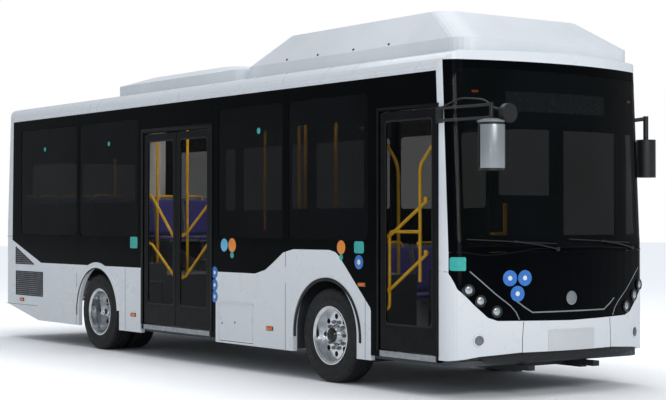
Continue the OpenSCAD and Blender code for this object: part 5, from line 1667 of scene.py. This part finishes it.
horn = disc("horn_pad", (0, 0, 0), 0.055, 0.02, "Z", 0.008, 36)
edit(horn, "FACE", lambda face, normal: normal.z > 0.95)
bpy.ops.mesh.inset(thickness=0.012)
slide((0, 0, 0.004))
leave()
horn.data.transform(Matrix.Translation(at(1.479, 0.64, 1.289)) @ Matrix.Rotation(math.radians(-35), 4, "Y")
                    @ Matrix.Translation((0, 0, 0.012)))
hang(settle(horn), "steering_wheel", mirror_shell)
print("driver's place done")

# %% [markdown]
# A yellow rail also stands beside the driver's gate, where boarding passengers steady themselves.

# %% Entrance rail
rail = rod("entrance_rail", [at(0.50, -0.72, 0.349), at(0.50, -0.72, 2.2), at(0.50, -0.95, 2.5),
                             at(0.50, -1.2, 2.55)], 0.016, 0.12, 4)
flange = disc("flange", at(0.50, -0.72, 0.356), 0.04, 0.012, "Z", 0.003, 28)
hang(joined("entrance_rail", [rail, flange]), "body", yellow)
print("entrance rail done")

# %% [markdown]
# A short yellow post with a rounded top stands between the fare reader and the driver's gate. It keeps the
# queue out of the driver's space and gives a hand something to hold while paying.

# %% Gate post
post = disc("gate_post", at(1.06, 0.207, 1.08), 0.022, 1.46, "Z", 0.008, 32)
foot = disc("foot", at(1.06, 0.207, 0.356), 0.05, 0.012, "Z", 0.003, 28)
hang(joined("gate_post", [post, foot]), "body", yellow)

# %% [markdown]
# ## Studio
# The bus stands on a pale seamless floor under a large soft lamp. The white room around it fills the
# shadows, a smaller lamp lights the nose from above, and a tall narrow one behind the camera draws the
# upright highlight that shows how the windscreen curves. The floor and the lamps are no part of the bus.

# %% Floor, lamps and room light
let_go()
bpy.ops.mesh.primitive_plane_add(size=160, location=(0, 0, 0))
ground = bpy.context.object
ground.name = "Studio floor"
floor_paint, tree, shader, place = surface("Pale studio floor", Roughness=0.9, Specular_IOR_Level=0.1,
                                           Emission_Color=linear("#F4F6FA"))
tree.links.new(two_tone(tree, spread(tree, grain(tree, place, 2.0, 2), 0, 1), "#F3F4F5", "#F7F8F8"),
               shader.inputs["Base Color"])
# The floor glows a little, and less near the tyres where the bus covers it, so its shadow stays. The glow is
# stronger for rays from the camera: the floor looks nearly white but throws less light up at the bus.
open_floor = node(tree, "ShaderNodeAmbientOcclusion", {"Distance": 2.5}, samples=8).outputs["AO"]
open_floor = node(tree, "ShaderNodeMath", {0: open_floor, 1: 3.0}, operation="POWER").outputs[0]
looked_at = node(tree, "ShaderNodeLightPath").outputs["Is Camera Ray"]
glow = node(tree, "ShaderNodeMapRange", {"Value": looked_at, "To Min": 0.14, "To Max": 0.5}).outputs["Result"]
tree.links.new(node(tree, "ShaderNodeMath", {0: open_floor, 1: glow}, operation="MULTIPLY").outputs[0],
               shader.inputs["Emission Strength"])
ground.data.materials.append(floor_paint)

def lamp(name, place, aim, width, height, power):
    data = bpy.data.lights.new(name, "AREA")
    data.shape = "RECTANGLE"
    data.size, data.size_y, data.energy = width, height, power
    made = bpy.data.objects.new(name, data)
    bpy.context.scene.collection.objects.link(made)
    made.location = place
    made.rotation_euler = (Vector(aim) - Vector(place)).to_track_quat("-Z", "Y").to_euler()
    return made

lamp("Overhead softbox", (-2, 1, 12), (-2, 0, 0), 14, 10, 720)
lamp("Nose softbox", (15, -3.5, 7), (4, 0, 1.5), 5, 3, 520)
lamp("Corner softbox", (17.5, -13.5, 3.2), (4.5, -1.2, 1.8), 0.9, 5.5, 120)

room = bpy.data.worlds.new("Studio room")
bpy.context.scene.world = room
room.use_nodes = True
tree = room.node_tree
tree.nodes.clear()
rays = node(tree, "ShaderNodeLightPath")
seen = node(tree, "ShaderNodeMath", {0: rays.outputs["Is Camera Ray"],
                                     1: rays.outputs["Is Transmission Ray"]}, operation="MAXIMUM")
# The room is white to the camera and through glass, a cooler grey in reflections, and soft as fill light.
backdrop = node(tree, "ShaderNodeBackground", {"Color": (1, 1, 1, 1), "Strength": 1.0})
mirrored = node(tree, "ShaderNodeBackground", {"Color": linear("#DDE2E8"), "Strength": 0.45})
filling = node(tree, "ShaderNodeBackground", {"Color": linear("#E9F0F9"), "Strength": 0.52})
inner = node(tree, "ShaderNodeMixShader", {0: rays.outputs["Is Glossy Ray"], 1: filling.outputs[0],
                                           2: mirrored.outputs[0]})
outer = node(tree, "ShaderNodeMixShader", {0: seen.outputs[0], 1: inner.outputs[0],
                                           2: backdrop.outputs[0]})
node(tree, "ShaderNodeOutputWorld", {"Surface": outer.outputs[0]})
bpy.context.scene.view_settings.view_transform = "Standard"
